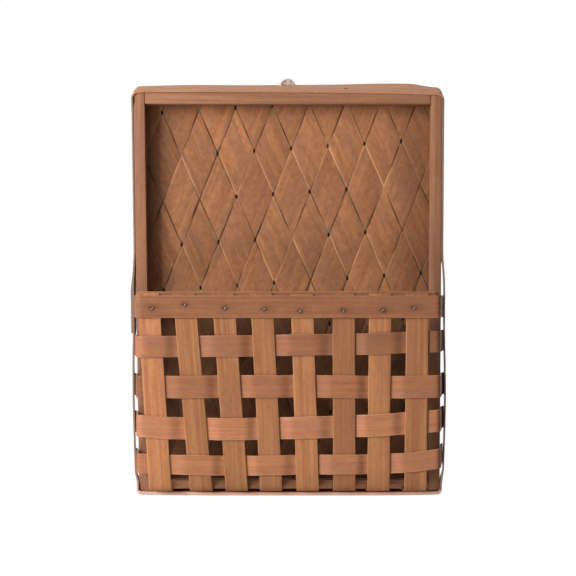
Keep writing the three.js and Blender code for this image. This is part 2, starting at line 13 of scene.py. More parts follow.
import bmesh
import bpy
import numpy as np
from bpy.types import ID, Material, Mesh, Node, NodeSocket, NodeTree, Object
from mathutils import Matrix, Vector


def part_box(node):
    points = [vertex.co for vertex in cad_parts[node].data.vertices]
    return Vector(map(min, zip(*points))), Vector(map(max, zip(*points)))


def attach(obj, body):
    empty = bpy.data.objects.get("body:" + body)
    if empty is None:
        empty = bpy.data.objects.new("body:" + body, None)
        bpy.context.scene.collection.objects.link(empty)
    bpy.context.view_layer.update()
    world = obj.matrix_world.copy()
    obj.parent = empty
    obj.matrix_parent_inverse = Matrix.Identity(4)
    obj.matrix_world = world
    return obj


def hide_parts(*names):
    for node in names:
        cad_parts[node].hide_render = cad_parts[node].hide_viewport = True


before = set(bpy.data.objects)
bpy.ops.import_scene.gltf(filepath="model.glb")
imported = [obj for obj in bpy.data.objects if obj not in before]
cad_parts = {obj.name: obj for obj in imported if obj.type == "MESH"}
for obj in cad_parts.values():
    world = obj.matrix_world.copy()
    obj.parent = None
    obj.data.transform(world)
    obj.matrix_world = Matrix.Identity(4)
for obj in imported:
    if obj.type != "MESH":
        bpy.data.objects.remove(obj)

LOG = logging.getLogger("wall_basket")
MM = 0.001
BODY = "root"
SHARP_ANGLE = math.radians(42)
WHITE = "#ffffff"

Point = tuple[float, float, float]
Plan = tuple[float, float]
Sockets = Mapping[str, NodeSocket]


class Side(Enum):
    """The viewer's left or right of the basket, with its sign along X."""

    LEFT = -1
    RIGHT = 1


class Lay(Enum):
    """The slant of a set of mat splints."""

    RISING = "right"
    FALLING = "left"


class Slot(Enum):
    """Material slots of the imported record."""

    FRAME = "frame_wood"
    HOOP = "hoop_wood"
    MAT = "mat_wood"
    SPLINT = "splint_wood"
    NAIL = "nail_steel"
    TWINE = "twine_jute"


def linear(code: str) -> tuple[float, float, float, float]:
    """Turns an sRGB hex colour to linear light.

    Args:
        code: Six hex digits, with or without a leading mark.

    Returns:
        Linear red, green, blue and an alpha of one.
    """
    digits = code.lstrip("#")
    parts = [int(digits[at : at + 2], 16) / 255 for at in (0, 2, 4)]
    red, green, blue = (c / 12.92 if c <= 0.04045 else ((c + 0.055) / 1.055) ** 2.4 for c in parts)
    return red, green, blue, 1.0


def add_node(
    tree: NodeTree,
    kind: str,
    settings: Mapping[str, Any] | None = None,
    inputs: Mapping[str | int, Any] | None = None,
) -> Node:
    """Adds a node with its settings, and links or sets its inputs.

    Args:
        tree: The node tree that takes the node.
        kind: The node's type name.
        settings: Properties of the node itself.
        inputs: Values, sockets, or nodes for their first output, by input name or place.

    Returns:
        The new node.
    """
    node = tree.nodes.new(kind)
    for key, value in (settings or {}).items():
        setattr(node, key, value)
    for key, value in (inputs or {}).items():
        source = value.outputs[0] if isinstance(value, Node) else value
        if isinstance(source, NodeSocket):
            tree.links.new(source, node.inputs[key])
        else:
            node.inputs[key].default_value = source
    return node


def blank_material(name: str) -> tuple[Material, NodeTree]:
    """Makes a material with nothing in it.

    Args:
        name: The material's name.

    Returns:
        The material and its empty node tree.
    """
    material = bpy.data.materials.new(name)
    material.use_nodes = True
    material.node_tree.nodes.clear()
    return material, material.node_tree


def ease(value: float | np.ndarray) -> float | np.ndarray:
    """A smooth step from nought to one, for a number or an array."""
    held = np.clip(value, 0.0, 1.0)
    return held * held * (3 - 2 * held)


# Node kinds and settings that are used again and again. Inputs are mostly given by place: a range maps 0 from
# 1 and 2 to 3 and 4, and a blend of colours takes its share at 0 and the colours at 6 and 7.
MATH = "ShaderNodeMath"
VECTOR = "ShaderNodeVectorMath"
RANGE = "ShaderNodeMapRange"
BLEND = "ShaderNodeMix"
NOISE = "ShaderNodeTexNoise"
ATTRIBUTE = "ShaderNodeAttribute"
JOINED = "ShaderNodeCombineXYZ"
PARTED = "ShaderNodeSeparateXYZ"
SURFACE = "ShaderNodeBsdfPrincipled"
SHOWN = "ShaderNodeOutputMaterial"
RAYS = "ShaderNodeLightPath"
STORED = "GeometryNodeStoreNamedAttribute"
NAMED = "GeometryNodeInputNamedAttribute"
SMOOTH = {"interpolation_type": "SMOOTHSTEP"}
MIX = {"data_type": "RGBA", "blend_type": "MIX"}
SCALE = {"operation": "SCALE"}
ADD = {"operation": "ADD"}
TIMES = {"operation": "MULTIPLY"}
LESS = {"operation": "SUBTRACT"}
PLUS_TIMES = {"operation": "MULTIPLY_ADD"}
OVER = {"operation": "DIVIDE"}
LARGER = {"operation": "MAXIMUM"}
SIZE = {"operation": "ABSOLUTE"}


@dataclass(frozen=True)
class WoodFinish:
    """Stained ash, cut as a splint, strip or stick.

    Ash is ring porous: straight pale fibres with lines of darker open pores. A brown oil stain sinks into
    the pores and dulls the surface, soaks in unevenly in cloudy patches, and the cut edges stay rougher and
    paler.
    """

    name: str
    pale: str
    deep: str
    blush: str
    edge: str
    pore: str = "#5d3c29"
    # This dark colour serves both the real stains round nails and painted shade in gaps, seams and recesses.
    grime: str = "#2a1a12"
    # Growth streaks and fibres are drawn coarser than the real 0.3 mm ones, which are finer than a pixel.
    streak_mm: float = 3.6
    fibre_mm: float = 1.0
    run_mm: float = 42.0
    cloud_mm: float = 22.0
    cloud_share: float = 0.75
    fibre_depth: float = 0.13
    pore_depth: float = 0.2
    mottle_mm: float = 3.2
    mottle_depth: float = 0.09
    rough: float = 0.6
    rough_swing: float = 0.08
    ior: float = 1.48
    gloss: float = 0.2
    relief: float = 0.5
    relief_mm: float = 0.1
    edge_mm: float = 0.8
    edge_wear_and_highlight: float = 0.9

    def material(self) -> Material:
        """Builds the wood from the piece's own grain coordinates.

        Returns:
            The material, which reads the attributes grain, seed, tone and edge, and a last one for real stain
            and painted shade.
        """
        material, tree = blank_material(self.name)
        node = partial(add_node, tree)
        read = {key: node(ATTRIBUTE, {"attribute_name": key})
                for key in ("grain", "seed", "tone", "edge")}
        shift = node(VECTOR, SCALE, {0: (0.37, 0.81, 0.53), "Scale": read["seed"].outputs["Fac"]})
        placed = node(VECTOR, ADD, {0: read["grain"].outputs["Vector"], 1: shift})

        # Marks stretched along the grain: their length, width, detail and wander.
        marks = {}
        for key, run, wide, detail, bend in (
            ("streaks", 4.5 * self.run_mm, self.streak_mm, 3.0, 0.7),
            ("fibres", self.run_mm, self.fibre_mm, 3.0, 0.2),
            ("clouds", 2.2 * self.cloud_mm, 0.7 * self.cloud_mm, 2.0, 0.5),
            ("pores", 0.25 * self.run_mm, 0.8 * self.fibre_mm, 1.0, 0.0),
            ("mottle", 1.5 * self.mottle_mm, self.mottle_mm, 3.0, 0.6),
        ):
            sizes = (1 / (run * MM), 1 / (wide * MM), 1 / (wide * MM))
            scaled = node(VECTOR, TIMES, {0: placed, 1: sizes})
            marks[key] = node(NOISE, {"noise_dimensions": "3D"},
                              {"Vector": scaled, "Scale": 1.0, "Detail": detail, "Roughness": 0.55,
                               "Distortion": bend}).outputs[0]

        banded = node(RANGE, SMOOTH, {0: marks["streaks"], 1: 0.32, 2: 0.68})
        colour = node(BLEND, MIX, {0: banded, 6: linear(self.deep), 7: linear(self.pale)})
        cloudy = node(RANGE, SMOOTH, {0: marks["clouds"], 1: 0.4, 2: 0.68, 3: 0.0, 4: self.cloud_share})
        colour = node(BLEND, MIX, {0: cloudy, 6: colour.outputs[2], 7: linear(self.blush)})
        thin, thick = 1 - self.fibre_depth, 1 + self.fibre_depth
        strands = node(RANGE, SMOOTH, {0: marks["fibres"], 1: 0.28, 2: 0.72, 3: thin, 4: thick})
        dim, bright = 1 - self.mottle_depth, 1 + self.mottle_depth
        patchy = node(RANGE, None, {0: marks["mottle"], 1: 0.25, 2: 0.75, 3: dim, 4: bright})
        uneven = node(MATH, TIMES, {0: strands, 1: patchy})
        colour = node(VECTOR, SCALE, {0: colour.outputs[2], "Scale": uneven})
        open_pores = node(RANGE, SMOOTH, {0: marks["pores"], 1: 0.58, 2: 0.74})
        inked = node(MATH, TIMES, {0: open_pores, 1: self.pore_depth})
        colour = node(BLEND, MIX, {0: inked, 6: colour, 7: linear(self.pore)})
        # Pale cut edges: real wear, and on the mat partly a painted highlight.
        rim = self.edge_mm * MM
        at_edge = node(RANGE, SMOOTH,
                       {0: read["edge"].outputs["Fac"], 1: 0.0, 2: rim, 3: self.edge_wear_and_highlight, 4: 0.0})
        rubbed = node(RANGE, SMOOTH, {0: marks["fibres"], 1: 0.3, 2: 0.6, 3: 0.3, 4: 1.0})
        worn = node(MATH, TIMES, {0: at_edge, 1: rubbed})
        colour = node(BLEND, MIX, {0: worn, 6: colour.outputs[2], 7: linear(self.edge)})
        toned = node(MATH, ADD, {0: read["tone"].outputs["Fac"], 1: 1.0})
        colour = node(VECTOR, SCALE, {0: colour.outputs[2], "Scale": toned})
        # Darker, and matt, where real stain lies and where shade is painted.
        stain_and_shade_mask = self.stained_and_shaded(tree)
        colour = node(BLEND, MIX, {0: stain_and_shade_mask, 6: colour, 7: linear(self.grime)})
        stain_and_shade_matt = node(RANGE, None, {0: stain_and_shade_mask, 1: 0.0, 2: 0.5, 3: 0.0, 4: 1.0})

        raised = node(MATH, LESS, {0: marks["fibres"], 1: open_pores})
        bump = node("ShaderNodeBump", None,
                    {"Strength": self.relief, "Distance": self.relief_mm * MM, "Height": raised})
        dull, smooth = self.rough + self.rough_swing, self.rough - self.rough_swing
        rough = node(RANGE, None, {0: marks["fibres"], 1: 0.3, 2: 0.7, 3: dull, 4: smooth})
        matt = node(MATH, LARGER, {0: rough, 1: stain_and_shade_matt})
        shader = node(SURFACE, None,
                      {"Base Color": colour.outputs[2], "IOR": self.ior, "Specular IOR Level": self.gloss,
                       "Roughness": matt, "Normal": bump})
        node(SHOWN, None, {"Surface": shader})
        return material

    def stained_and_shaded(self, tree: NodeTree) -> NodeSocket:
        """How much real stain and painted shade darken each place, from their attribute."""
        return add_node(tree, ATTRIBUTE, {"attribute_name": "grime"}).outputs["Fac"]


@dataclass(frozen=True)
class MatFinish(WoodFinish):
    """Stained ash of the mat, with painted shade: dark seams between splints and a dark pit where four of
    them leave a hole.
    """

    rising: Plan = (0.0, 0.0)
    falling: Plan = (0.0, 0.0)
    pit_mm: Plan = (1.05, 2.1)
    pit_share: float = 0.62
    pit_fade: float = 0.35
    seam_mm: float = 0.8
    seam_depth: float = 0.85
    seam_least: float = 0.15
    rising_seam: float = 0.85

    def stained_and_shaded(self, tree: NodeTree) -> NodeSocket:
        """Draws the painted shade of the seams and pits from the mat's lattice coordinates.

        Args:
            tree: The material's node tree.

        Returns:
            The share of painted shade.
        """
        node = partial(add_node, tree)
        cell = node(ATTRIBUTE, {"attribute_name": "lattice"})
        raised = node(VECTOR, ADD, {0: cell.outputs["Vector"], 1: (0.5, 0.5, 0.5)})
        corner = node(VECTOR, {"operation": "FLOOR"}, {0: raised})
        apart = node(VECTOR, LESS, {0: cell.outputs["Vector"], 1: corner})
        # Painted shade in the hole where four splints part: a dark pit, open at some corners only.
        reach = []
        for axis in (0, 1):
            steps = (self.rising[axis] / self.pit_mm[axis], self.falling[axis] / self.pit_mm[axis], 0.0)
            reach.append(node(VECTOR, {"operation": "DOT_PRODUCT"}, {0: apart, 1: steps}).outputs["Value"])
        away = node(JOINED, None, {0: reach[0], 1: reach[1]})
        far = node(VECTOR, {"operation": "LENGTH"}, {0: away})
        pit = node(RANGE, SMOOTH, {0: far.outputs["Value"], 1: 0.75, 2: 1.25, 3: 1.0, 4: 0.0})
        chance = node("ShaderNodeTexWhiteNoise", {"noise_dimensions": "3D"}, {"Vector": corner})
        shut = self.pit_share + self.pit_fade
        open_here = node(RANGE, None,
                         {0: chance.outputs["Value"], 1: self.pit_share, 2: shut, 3: 1.0, 4: 0.0})
        dark = node(MATH, TIMES, {0: pit, 1: open_here})

        # Painted shade: thin dark seams where one splint passes under another's edge, fading in and out along
        # their length.
        area = abs(self.rising[0] * self.falling[1] - self.rising[1] * self.falling[0])
        pitches = (area / math.hypot(*self.falling), area / math.hypot(*self.rising), 0.0)
        aside = node(VECTOR, TIMES, {0: apart, 1: pitches})
        gap = node(VECTOR, SIZE, {0: aside})
        gaps = node(PARTED, None, {0: gap})
        fade = node(NOISE, None, {"Vector": cell.outputs["Vector"], "Scale": 1.3, "Detail": 1.0})
        depth = node(RANGE, None, {0: fade, 1: 0.38, 2: 0.62, 3: self.seam_least, 4: self.seam_depth})
        for axis, share in enumerate((self.rising_seam, 1.0)):
            faint = node(MATH, TIMES, {0: depth, 1: share})
            width = node(MATH, PLUS_TIMES, {0: faint, 1: 1.5 * self.seam_mm, 2: 0.15})
            seam = node(RANGE, SMOOTH, {0: gaps.outputs[axis], 1: 0.1, 2: width, 3: faint, 4: 0.0})
            dark = node(MATH, LARGER, {0: dark, 1: seam})
        return dark.outputs[0]


@dataclass(frozen=True)
class SteelFinish:
    """Drawn steel wire nail: bright once, now dull grey with a brown bloom of rust from the damp wood."""

    name: str = "weathered_nail_steel"
    bright: str = "#80776d"
    rust: str = "#4a392c"
    bloom_mm: float = 0.9
    bloom_share: float = 0.8
    rough: float = 0.5
    rust_rough: float = 0.85
    metal: float = 0.9
    rust_metal: float = 0.2

    def material(self) -> Material:
        """Builds the nail steel on object coordinates.

        Returns:
            The material.
        """
        material, tree = blank_material(self.name)
        node = partial(add_node, tree)
        place = node("ShaderNodeTexCoord")
        often = 1 / (self.bloom_mm * MM)
        bloom = node(NOISE, None, {"Vector": place.outputs["Object"], "Scale": often, "Detail": 2.0})
        share = node(RANGE, None, {0: bloom, 1: 0.5, 2: 0.72, 3: 0.0, 4: self.bloom_share})
        colour = node(BLEND, MIX, {0: share, 6: linear(self.bright), 7: linear(self.rust)})
        rough = node(RANGE, None, {0: bloom, 1: 0.4, 2: 0.7, 3: self.rough, 4: self.rust_rough})
        metal = node(RANGE, None,
                     {0: share, 1: 0.0, 2: self.bloom_share, 3: self.metal, 4: self.rust_metal})
        shader = node(SURFACE, None,
                      {"Base Color": colour.outputs[2], "Metallic": metal, "Roughness": rough})
        node(SHOWN, None, {"Surface": shader})
        return material


@dataclass(frozen=True)
class TwineFinish:
    """Jute twine: coarse dull bast fibres, twisted in plies, worn pale on the crowns and darker between."""

    name: str = "twisted_jute"
    crown: str = "#f0e2d6"
    hollow: str = "#cdb9aa"
    fibre_mm: float = 0.45
    relief: float = 0.6
    relief_mm: float = 0.12
    rough: float = 0.92
    gloss: float = 0.2

    def material(self) -> Material:
        """Builds the twine on object coordinates.

        Returns:
            The material.
        """
        material, tree = blank_material(self.name)
        node = partial(add_node, tree)
        place = node("ShaderNodeTexCoord")
        often = 1 / (self.fibre_mm * MM)
        fibres = node(NOISE, None, {"Vector": place.outputs["Object"], "Scale": often, "Detail": 3.0})
        share = node(RANGE, None, {0: fibres, 1: 0.36, 2: 0.62})
        colour = node(BLEND, MIX, {0: share, 6: linear(self.hollow), 7: linear(self.crown)})
        bump = node("ShaderNodeBump", None,
                    {"Strength": self.relief, "Distance": self.relief_mm * MM, "Height": fibres})
        shader = node(SURFACE, None,
                      {"Base Color": colour.outputs[2], "Roughness": self.rough,
                       "Specular IOR Level": self.gloss, "Normal": bump})
        node(SHOWN, None, {"Surface": shader})
        return material


STICK_ASH = WoodFinish("stained_ash_stick", pale="#b47f5d", deep="#9f6c4d", blush="#a4725a", edge="#c99a76",
                       fibre_depth=0.06)
HOOP_ASH = WoodFinish("stained_ash_hoop", pale="#cc9774", deep="#b98462", blush="#bf8a6d", edge="#bd9f90",
                      grime="#4a3a33", fibre_depth=0.06)
STAKE_ASH = WoodFinish("stained_ash_stake", pale="#bd8257", deep="#a56b45", blush="#aa7150", edge="#c99569",
                       fibre_depth=0.05)
WEAVER_ASH = WoodFinish("stained_ash_weaver", pale="#b27652", deep="#a26a49", blush="#a06c53", edge="#c59470",
                        fibre_depth=0.06, streak_mm=2.6)
RIM_ASH = WoodFinish("stained_ash_rim", pale="#a8704e", deep="#935f41", blush="#94624a", edge="#bd8a63",
                     fibre_depth=0.07, streak_mm=3.0)


def finished(made: Object, nodes: Sequence[str]) -> Object:
    """Makes an object a piece of the basket.

    Args:
        made: The finished object, at the origin.
        nodes: CAD nodes that the piece stands for.

    Returns:
        The same object.
    """
    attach(made, BODY)
    if nodes:
        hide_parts(*nodes)
    LOG.info("%s: %d faces", made.name, len(made.data.polygons))
    return made


def linked(name: str, data: ID) -> Object:
    """Puts a mesh, lamp or camera into the scene.

    Args:
        name: The object's name.
        data: Its mesh, light or camera.

    Returns:
        The new object.
    """
    made = bpy.data.objects.new(name, data)
    bpy.context.scene.collection.objects.link(made)
    return made


def outward(build: bmesh.types.BMesh, mesh: Mesh) -> Mesh:
    """Turns a shape's faces outwards and writes it to a mesh.

    Args:
        build: The shape, which is freed.
        mesh: The mesh that takes it.

    Returns:
        The same mesh.
    """
    bmesh.ops.recalc_face_normals(build, faces=build.faces)
    build.to_mesh(mesh)
    build.free()
    return mesh


def settled(made: Object) -> Object:
    """Turns an object's modifiers into its plain mesh, smooth but for its sharp corners.

    Args:
        made: The object with its modifiers.

    Returns:
        The same object with a plain mesh.
    """
    graph = bpy.context.evaluated_depsgraph_get()
    shaped = made.evaluated_get(graph)
    mesh = bpy.data.meshes.new_from_object(shaped, preserve_all_data_layers=True, depsgraph=graph)
    made.modifiers.clear()
    old = made.data
    made.data = mesh
    mesh.name = made.name
    bpy.data.meshes.remove(old)
    mesh.shade_smooth()
    mesh.set_sharp_from_angle(angle=SHARP_ANGLE)
    return made


def coordinates(mesh: Mesh) -> np.ndarray:
    """Reads where a mesh's points are.

    Args:
        mesh: The mesh.

    Returns:
        A row in millimetres for each point.
    """
    flat = np.zeros(len(mesh.vertices) * 3, np.float32)
    mesh.vertices.foreach_get("co", flat)
    return flat.reshape(-1, 3).astype(float) / MM


def set_coordinates(mesh: Mesh, points: np.ndarray) -> None:
    """Moves a mesh's points to new places in millimetres."""
    mesh.vertices.foreach_set("co", (points * MM).astype(np.float32).ravel())


def get_values(mesh: Mesh, name: str) -> np.ndarray:
    """Reads one number, or one vector, for each point of a mesh.

    Args:
        mesh: The mesh.
        name: The attribute's name.

    Returns:
        A number or a row of three for each point.
    """
    found = mesh.attributes[name]
    key, width = ("value", 1) if found.data_type == "FLOAT" else ("vector", 3)
    flat = np.zeros(len(mesh.vertices) * width, np.float32)
    found.data.foreach_get(key, flat)
    return flat if width == 1 else flat.reshape(-1, width)


def set_values(mesh: Mesh, name: str, values: Sequence[float] | np.ndarray) -> None:
    """Stores one number, or one vector, for each point of a mesh.

    Args:
        mesh: The mesh.
        name: The attribute's name.
        values: A number or a row of three for each point.
    """
    rows = np.asarray(values, np.float32)
    kind, key = ("FLOAT", "value") if rows.ndim == 1 else ("FLOAT_VECTOR", "vector")
    found = mesh.attributes.get(name) or mesh.attributes.new(name, kind, "POINT")
    found.data.foreach_set(key, rows.ravel())


@dataclass(frozen=True)
class Strip:
    """Sizes of one swept splint."""

    width: float
    thickness: float
    tone: float
    seed: float
    cuts: int = 8
    corner: float = 0.3
    waver: float = 0.25
    warp: float = 0.1
    slant: float = 0.0


class SplintSweep:
    """Sweeps a thin, soft-edged section along a path: the one rule behind every splint, band and hoop."""

    WAVER_RUN_MM = 30.0
    WARP_RUN_MM = 52.0
    ATTRIBUTES = {
        "along": "FLOAT",
        "section": "FLOAT_VECTOR",
        "across_dir": "FLOAT_VECTOR",
        "face_dir": "FLOAT_VECTOR",
        "heading_dir": "FLOAT_VECTOR",
    }
    LENGTHS = ("width", "thickness", "corner", "waver", "warp")
    NUMBERS = ("slant", "seed", "tone")
    SOCKETS = {
        **dict.fromkeys((*LENGTHS, *NUMBERS), "NodeSocketFloat"),
        "cuts": "NodeSocketInt",
        "material": "NodeSocketMaterial",
    }

    def __init__(self) -> None:
        """Builds the node tree."""
        self.tree = bpy.data.node_groups.new("splint_sweep", "GeometryNodeTree")
        self.sockets: dict[str, str] = {}
        face = self.tree.interface
        face.new_socket("Geometry", in_out="INPUT", socket_type="NodeSocketGeometry")
        for name, kind in self.SOCKETS.items():
            self.sockets[name] = face.new_socket(name, in_out="INPUT", socket_type=kind).identifier
        face.new_socket("Geometry", in_out="OUTPUT", socket_type="NodeSocketGeometry")
        node = partial(add_node, self.tree)
        given = node("NodeGroupInput").outputs
        read = {name: node(NAMED, {"data_type": kind}, {"Name": name}).outputs[0]
                for name, kind in self.ATTRIBUTES.items()}
        path, section = self._path(given, read), self._section(given)
        body = node("GeometryNodeCurveToMesh", None,
                    {"Curve": path, "Profile Curve": section, "Fill Caps": True})
        moved = self._wandered(given, read, body.outputs[0])
        real = node("GeometryNodeRealizeInstances", None, {0: moved})
        dressed = node("GeometryNodeSetMaterial", None, {"Geometry": real, "Material": given["material"]})
        node("NodeGroupOutput", None, {0: dressed})

    def _path(self, given: Sockets, read: Sockets) -> NodeSocket:
        """Makes the curve, which knows its length and which way its width lies.

        Args:
            given: The tree's inputs.
            read: The attributes that the path carries.

        Returns:
            The curve.
        """
        node = partial(add_node, self.tree)
        path = node("GeometryNodeMeshToCurve", None, {0: given["Geometry"]})
        length = node("GeometryNodeSplineParameter")
        path = node(STORED, {"data_type": "FLOAT", "domain": "POINT"},
                    {"Geometry": path, "Name": "along", "Value": length.outputs["Length"]})
        path = node("GeometryNodeSetCurveNormal", {"mode": "FREE"},
                    {"Curve": path, "Normal": read["across_dir"]})
        return path.outputs[0]

    def _section(self, given: Sockets) -> NodeSocket:
        """Makes the section: a rectangle cut along its width, its corners rounded.

        Args:
            given: The tree's inputs.

        Returns:
            The section's curve.
        """
        node = partial(add_node, self.tree)
        section = node("GeometryNodeCurvePrimitiveQuadrilateral", {"mode": "RECTANGLE"},
                       {"Width": given["width"], "Height": given["thickness"]})
        index = node("GeometryNodeInputIndex")
        parity = node(MATH, {"operation": "MODULO"}, {0: index, 1: 2.0})
        wide = node(MATH, LESS, {0: 1.0, 1: parity})
        cuts = node(MATH, TIMES, {0: wide, 1: given["cuts"]})
        section = node("GeometryNodeSubdivideCurve", None, {"Curve": section, "Cuts": cuts})
        section = node("GeometryNodeFilletCurve", {"mode": "POLY"},
                       {"Curve": section, "Count": 2, "Radius": given["corner"]})
        spot = node("GeometryNodeInputPosition")
        section = node(STORED, {"data_type": "FLOAT_VECTOR", "domain": "POINT"},
                       {"Geometry": section, "Name": "section", "Value": spot})
        return section.outputs[0]

    def _wandered(self, given: Sockets, read: Sockets, body: NodeSocket) -> NodeSocket:
        """Stores what the finish reads, slants the sections and lets the edges and face wander.

        Args:
            given: The tree's inputs.
            read: The attributes that the path and section carry.
            body: The swept splint.

        Returns:
            The splint's geometry.
        """
        node = partial(add_node, self.tree)
        cross = node(PARTED, None, {0: read["section"]}).outputs
        half = node(MATH, TIMES, {0: given["width"], 1: 0.5})
        share = node(MATH, OVER, {0: cross[0], 1: half})
        out = node(MATH, SIZE, {0: cross[0]})
        to_edge = node(MATH, LESS, {0: half, 1: out})
        slid = node(MATH, TIMES, {0: cross[0], 1: given["slant"]})
        run = node(MATH, ADD, {0: read["along"], 1: slid})
        grain = node(JOINED, None, {0: run, 1: cross[0], 2: cross[1]})
        for name, kind, value in (
            ("grain", "FLOAT_VECTOR", grain.outputs[0]),
            ("edge", "FLOAT", to_edge.outputs[0]),
            ("seed", "FLOAT", given["seed"]),
            ("tone", "FLOAT", given["tone"]),
            ("grime", "FLOAT", 0.0),
        ):
            body = node(STORED, {"data_type": kind, "domain": "POINT"},
                        {"Geometry": body, "Name": name, "Value": value}).outputs[0]
        offset = node(VECTOR, SCALE, {0: read["heading_dir"], "Scale": slid}).outputs[0]
        for run_mm, across, amount, reach, way in (
            (self.WAVER_RUN_MM, share.outputs[0], given["waver"], share.outputs[0], "across_dir"),
            (self.WARP_RUN_MM, 0.0, given["warp"], 1.0, "face_dir"),
        ):
            far = node(MATH, OVER, {0: read["along"], 1: run_mm * MM})
            where = node(JOINED, None, {0: far, 1: across, 2: given["seed"]})
            drift = node(NOISE, {"noise_dimensions": "3D"},
                         {"Vector": where, "Scale": 1.0, "Detail": 3.0, "Roughness": 0.6})
            swing = node(MATH, PLUS_TIMES, {0: drift, 1: 3.0, 2: -1.5})
            sized = node(MATH, TIMES, {0: swing, 1: amount})
            sized = node(MATH, TIMES, {0: sized, 1: reach})
            step = node(VECTOR, SCALE, {0: read[way], "Scale": sized})
            offset = node(VECTOR, ADD, {0: offset, 1: step}).outputs[0]
        moved = node("GeometryNodeSetPosition", None, {"Geometry": body, "Offset": offset})
        return moved.outputs[0]

    def splint(
        self,
        name: str,
        path: Sequence[Point],
        across: Sequence[Point],
        strip: Strip,
        material: Material,
    ) -> Object:
        """Makes one splint.

        Args:
            name: The piece's name.
            path: Points of the middle line, in millimetres.
            across: The direction of the width at each point.
            strip: The splint's sizes.
            material: Its finish.

        Returns:
            The splint as a plain mesh object at the origin.
        """
        mesh = bpy.data.meshes.new(name)
        points = np.asarray(path, float)
        edges = [(at, at + 1) for at in range(len(points) - 1)]
        mesh.from_pydata((points * MM).tolist(), edges, [])
        wide = np.asarray(across, float)
        wide /= np.linalg.norm(wide, axis=1)[:, None]
        heading = np.gradient(points, axis=0)
        heading /= np.linalg.norm(heading, axis=1)[:, None]
        face = np.cross(heading, wide)
        face /= np.linalg.norm(face, axis=1)[:, None]
        for key, rows in (("across_dir", wide), ("face_dir", face), ("heading_dir", heading)):
            set_values(mesh, key, rows)
        made = linked(name, mesh)
        modifier = made.modifiers.new("splint_sweep", "NODES")
        modifier.node_group = self.tree
        settings = {
            **{key: getattr(strip, key) * MM for key in self.LENGTHS},
            **{key: getattr(strip, key) for key in (*self.NUMBERS, "cuts")},
            "material": material,
        }
        for key, value in settings.items():
            modifier[self.sockets[key]] = value
        return settled(made)


class ScatteredPieces:
    """Sets copies of one small piece at marked points, each turned its own way."""

    def __init__(self) -> None:
        """Builds the node tree."""
        self.tree = bpy.data.node_groups.new("scattered_pieces", "GeometryNodeTree")
        face = self.tree.interface
        face.new_socket("Geometry", in_out="INPUT", socket_type="NodeSocketGeometry")
        self.piece = face.new_socket("Piece", in_out="INPUT", socket_type="NodeSocketObject").identifier
        self.finish = face.new_socket("Material", in_out="INPUT", socket_type="NodeSocketMaterial").identifier
        face.new_socket("Geometry", in_out="OUTPUT", socket_type="NodeSocketGeometry")
        node = partial(add_node, self.tree)
        given = node("NodeGroupInput").outputs
        source = node("GeometryNodeObjectInfo", {"transform_space": "ORIGINAL"}, {0: given["Piece"]})
        turn = node(NAMED, {"data_type": "FLOAT_VECTOR"}, {"Name": "turn"})
        spin = node("FunctionNodeEulerToRotation", None, {0: turn})
        size = node(NAMED, {"data_type": "FLOAT"}, {"Name": "size"})
        placed = node("GeometryNodeInstanceOnPoints", None,
                      {"Points": given["Geometry"], "Instance": source.outputs["Geometry"],
                       "Rotation": spin, "Scale": size})
        real = node("GeometryNodeRealizeInstances", None, {0: placed})
        dressed = node("GeometryNodeSetMaterial", None, {"Geometry": real, "Material": given["Material"]})
        node("NodeGroupOutput", None, {0: dressed})

    def place(
        self,
        name: str,
        piece: Mesh,
        spots: Sequence[Point],
        turns: Sequence[Point],
        sizes: Sequence[float],
        material: Material,
    ) -> Object:
        """Sets the copies and makes them one mesh.

        Args:
            name: The name of the set.
            piece: The mesh that is copied, in metres.
            spots: Where each copy goes, in millimetres.
            turns: Each copy's turn as Euler angles in radians.
            sizes: Each copy's scale.
            material: The finish.

        Returns:
            The set as a plain mesh object at the origin.
        """
        source = linked(f"{name}_source", piece)
        mesh = bpy.data.meshes.new(name)
        mesh.from_pydata((np.asarray(spots, float) * MM).tolist(), [], [])
        set_values(mesh, "turn", np.asarray(turns, float))
        set_values(mesh, "size", sizes)
        made = linked(name, mesh)
        modifier = made.modifiers.new("scattered_pieces", "NODES")
        modifier.node_group = self.tree
        modifier[self.piece] = source
        modifier[self.finish] = material
        settled(made)
        bpy.data.objects.remove(source)
        return made


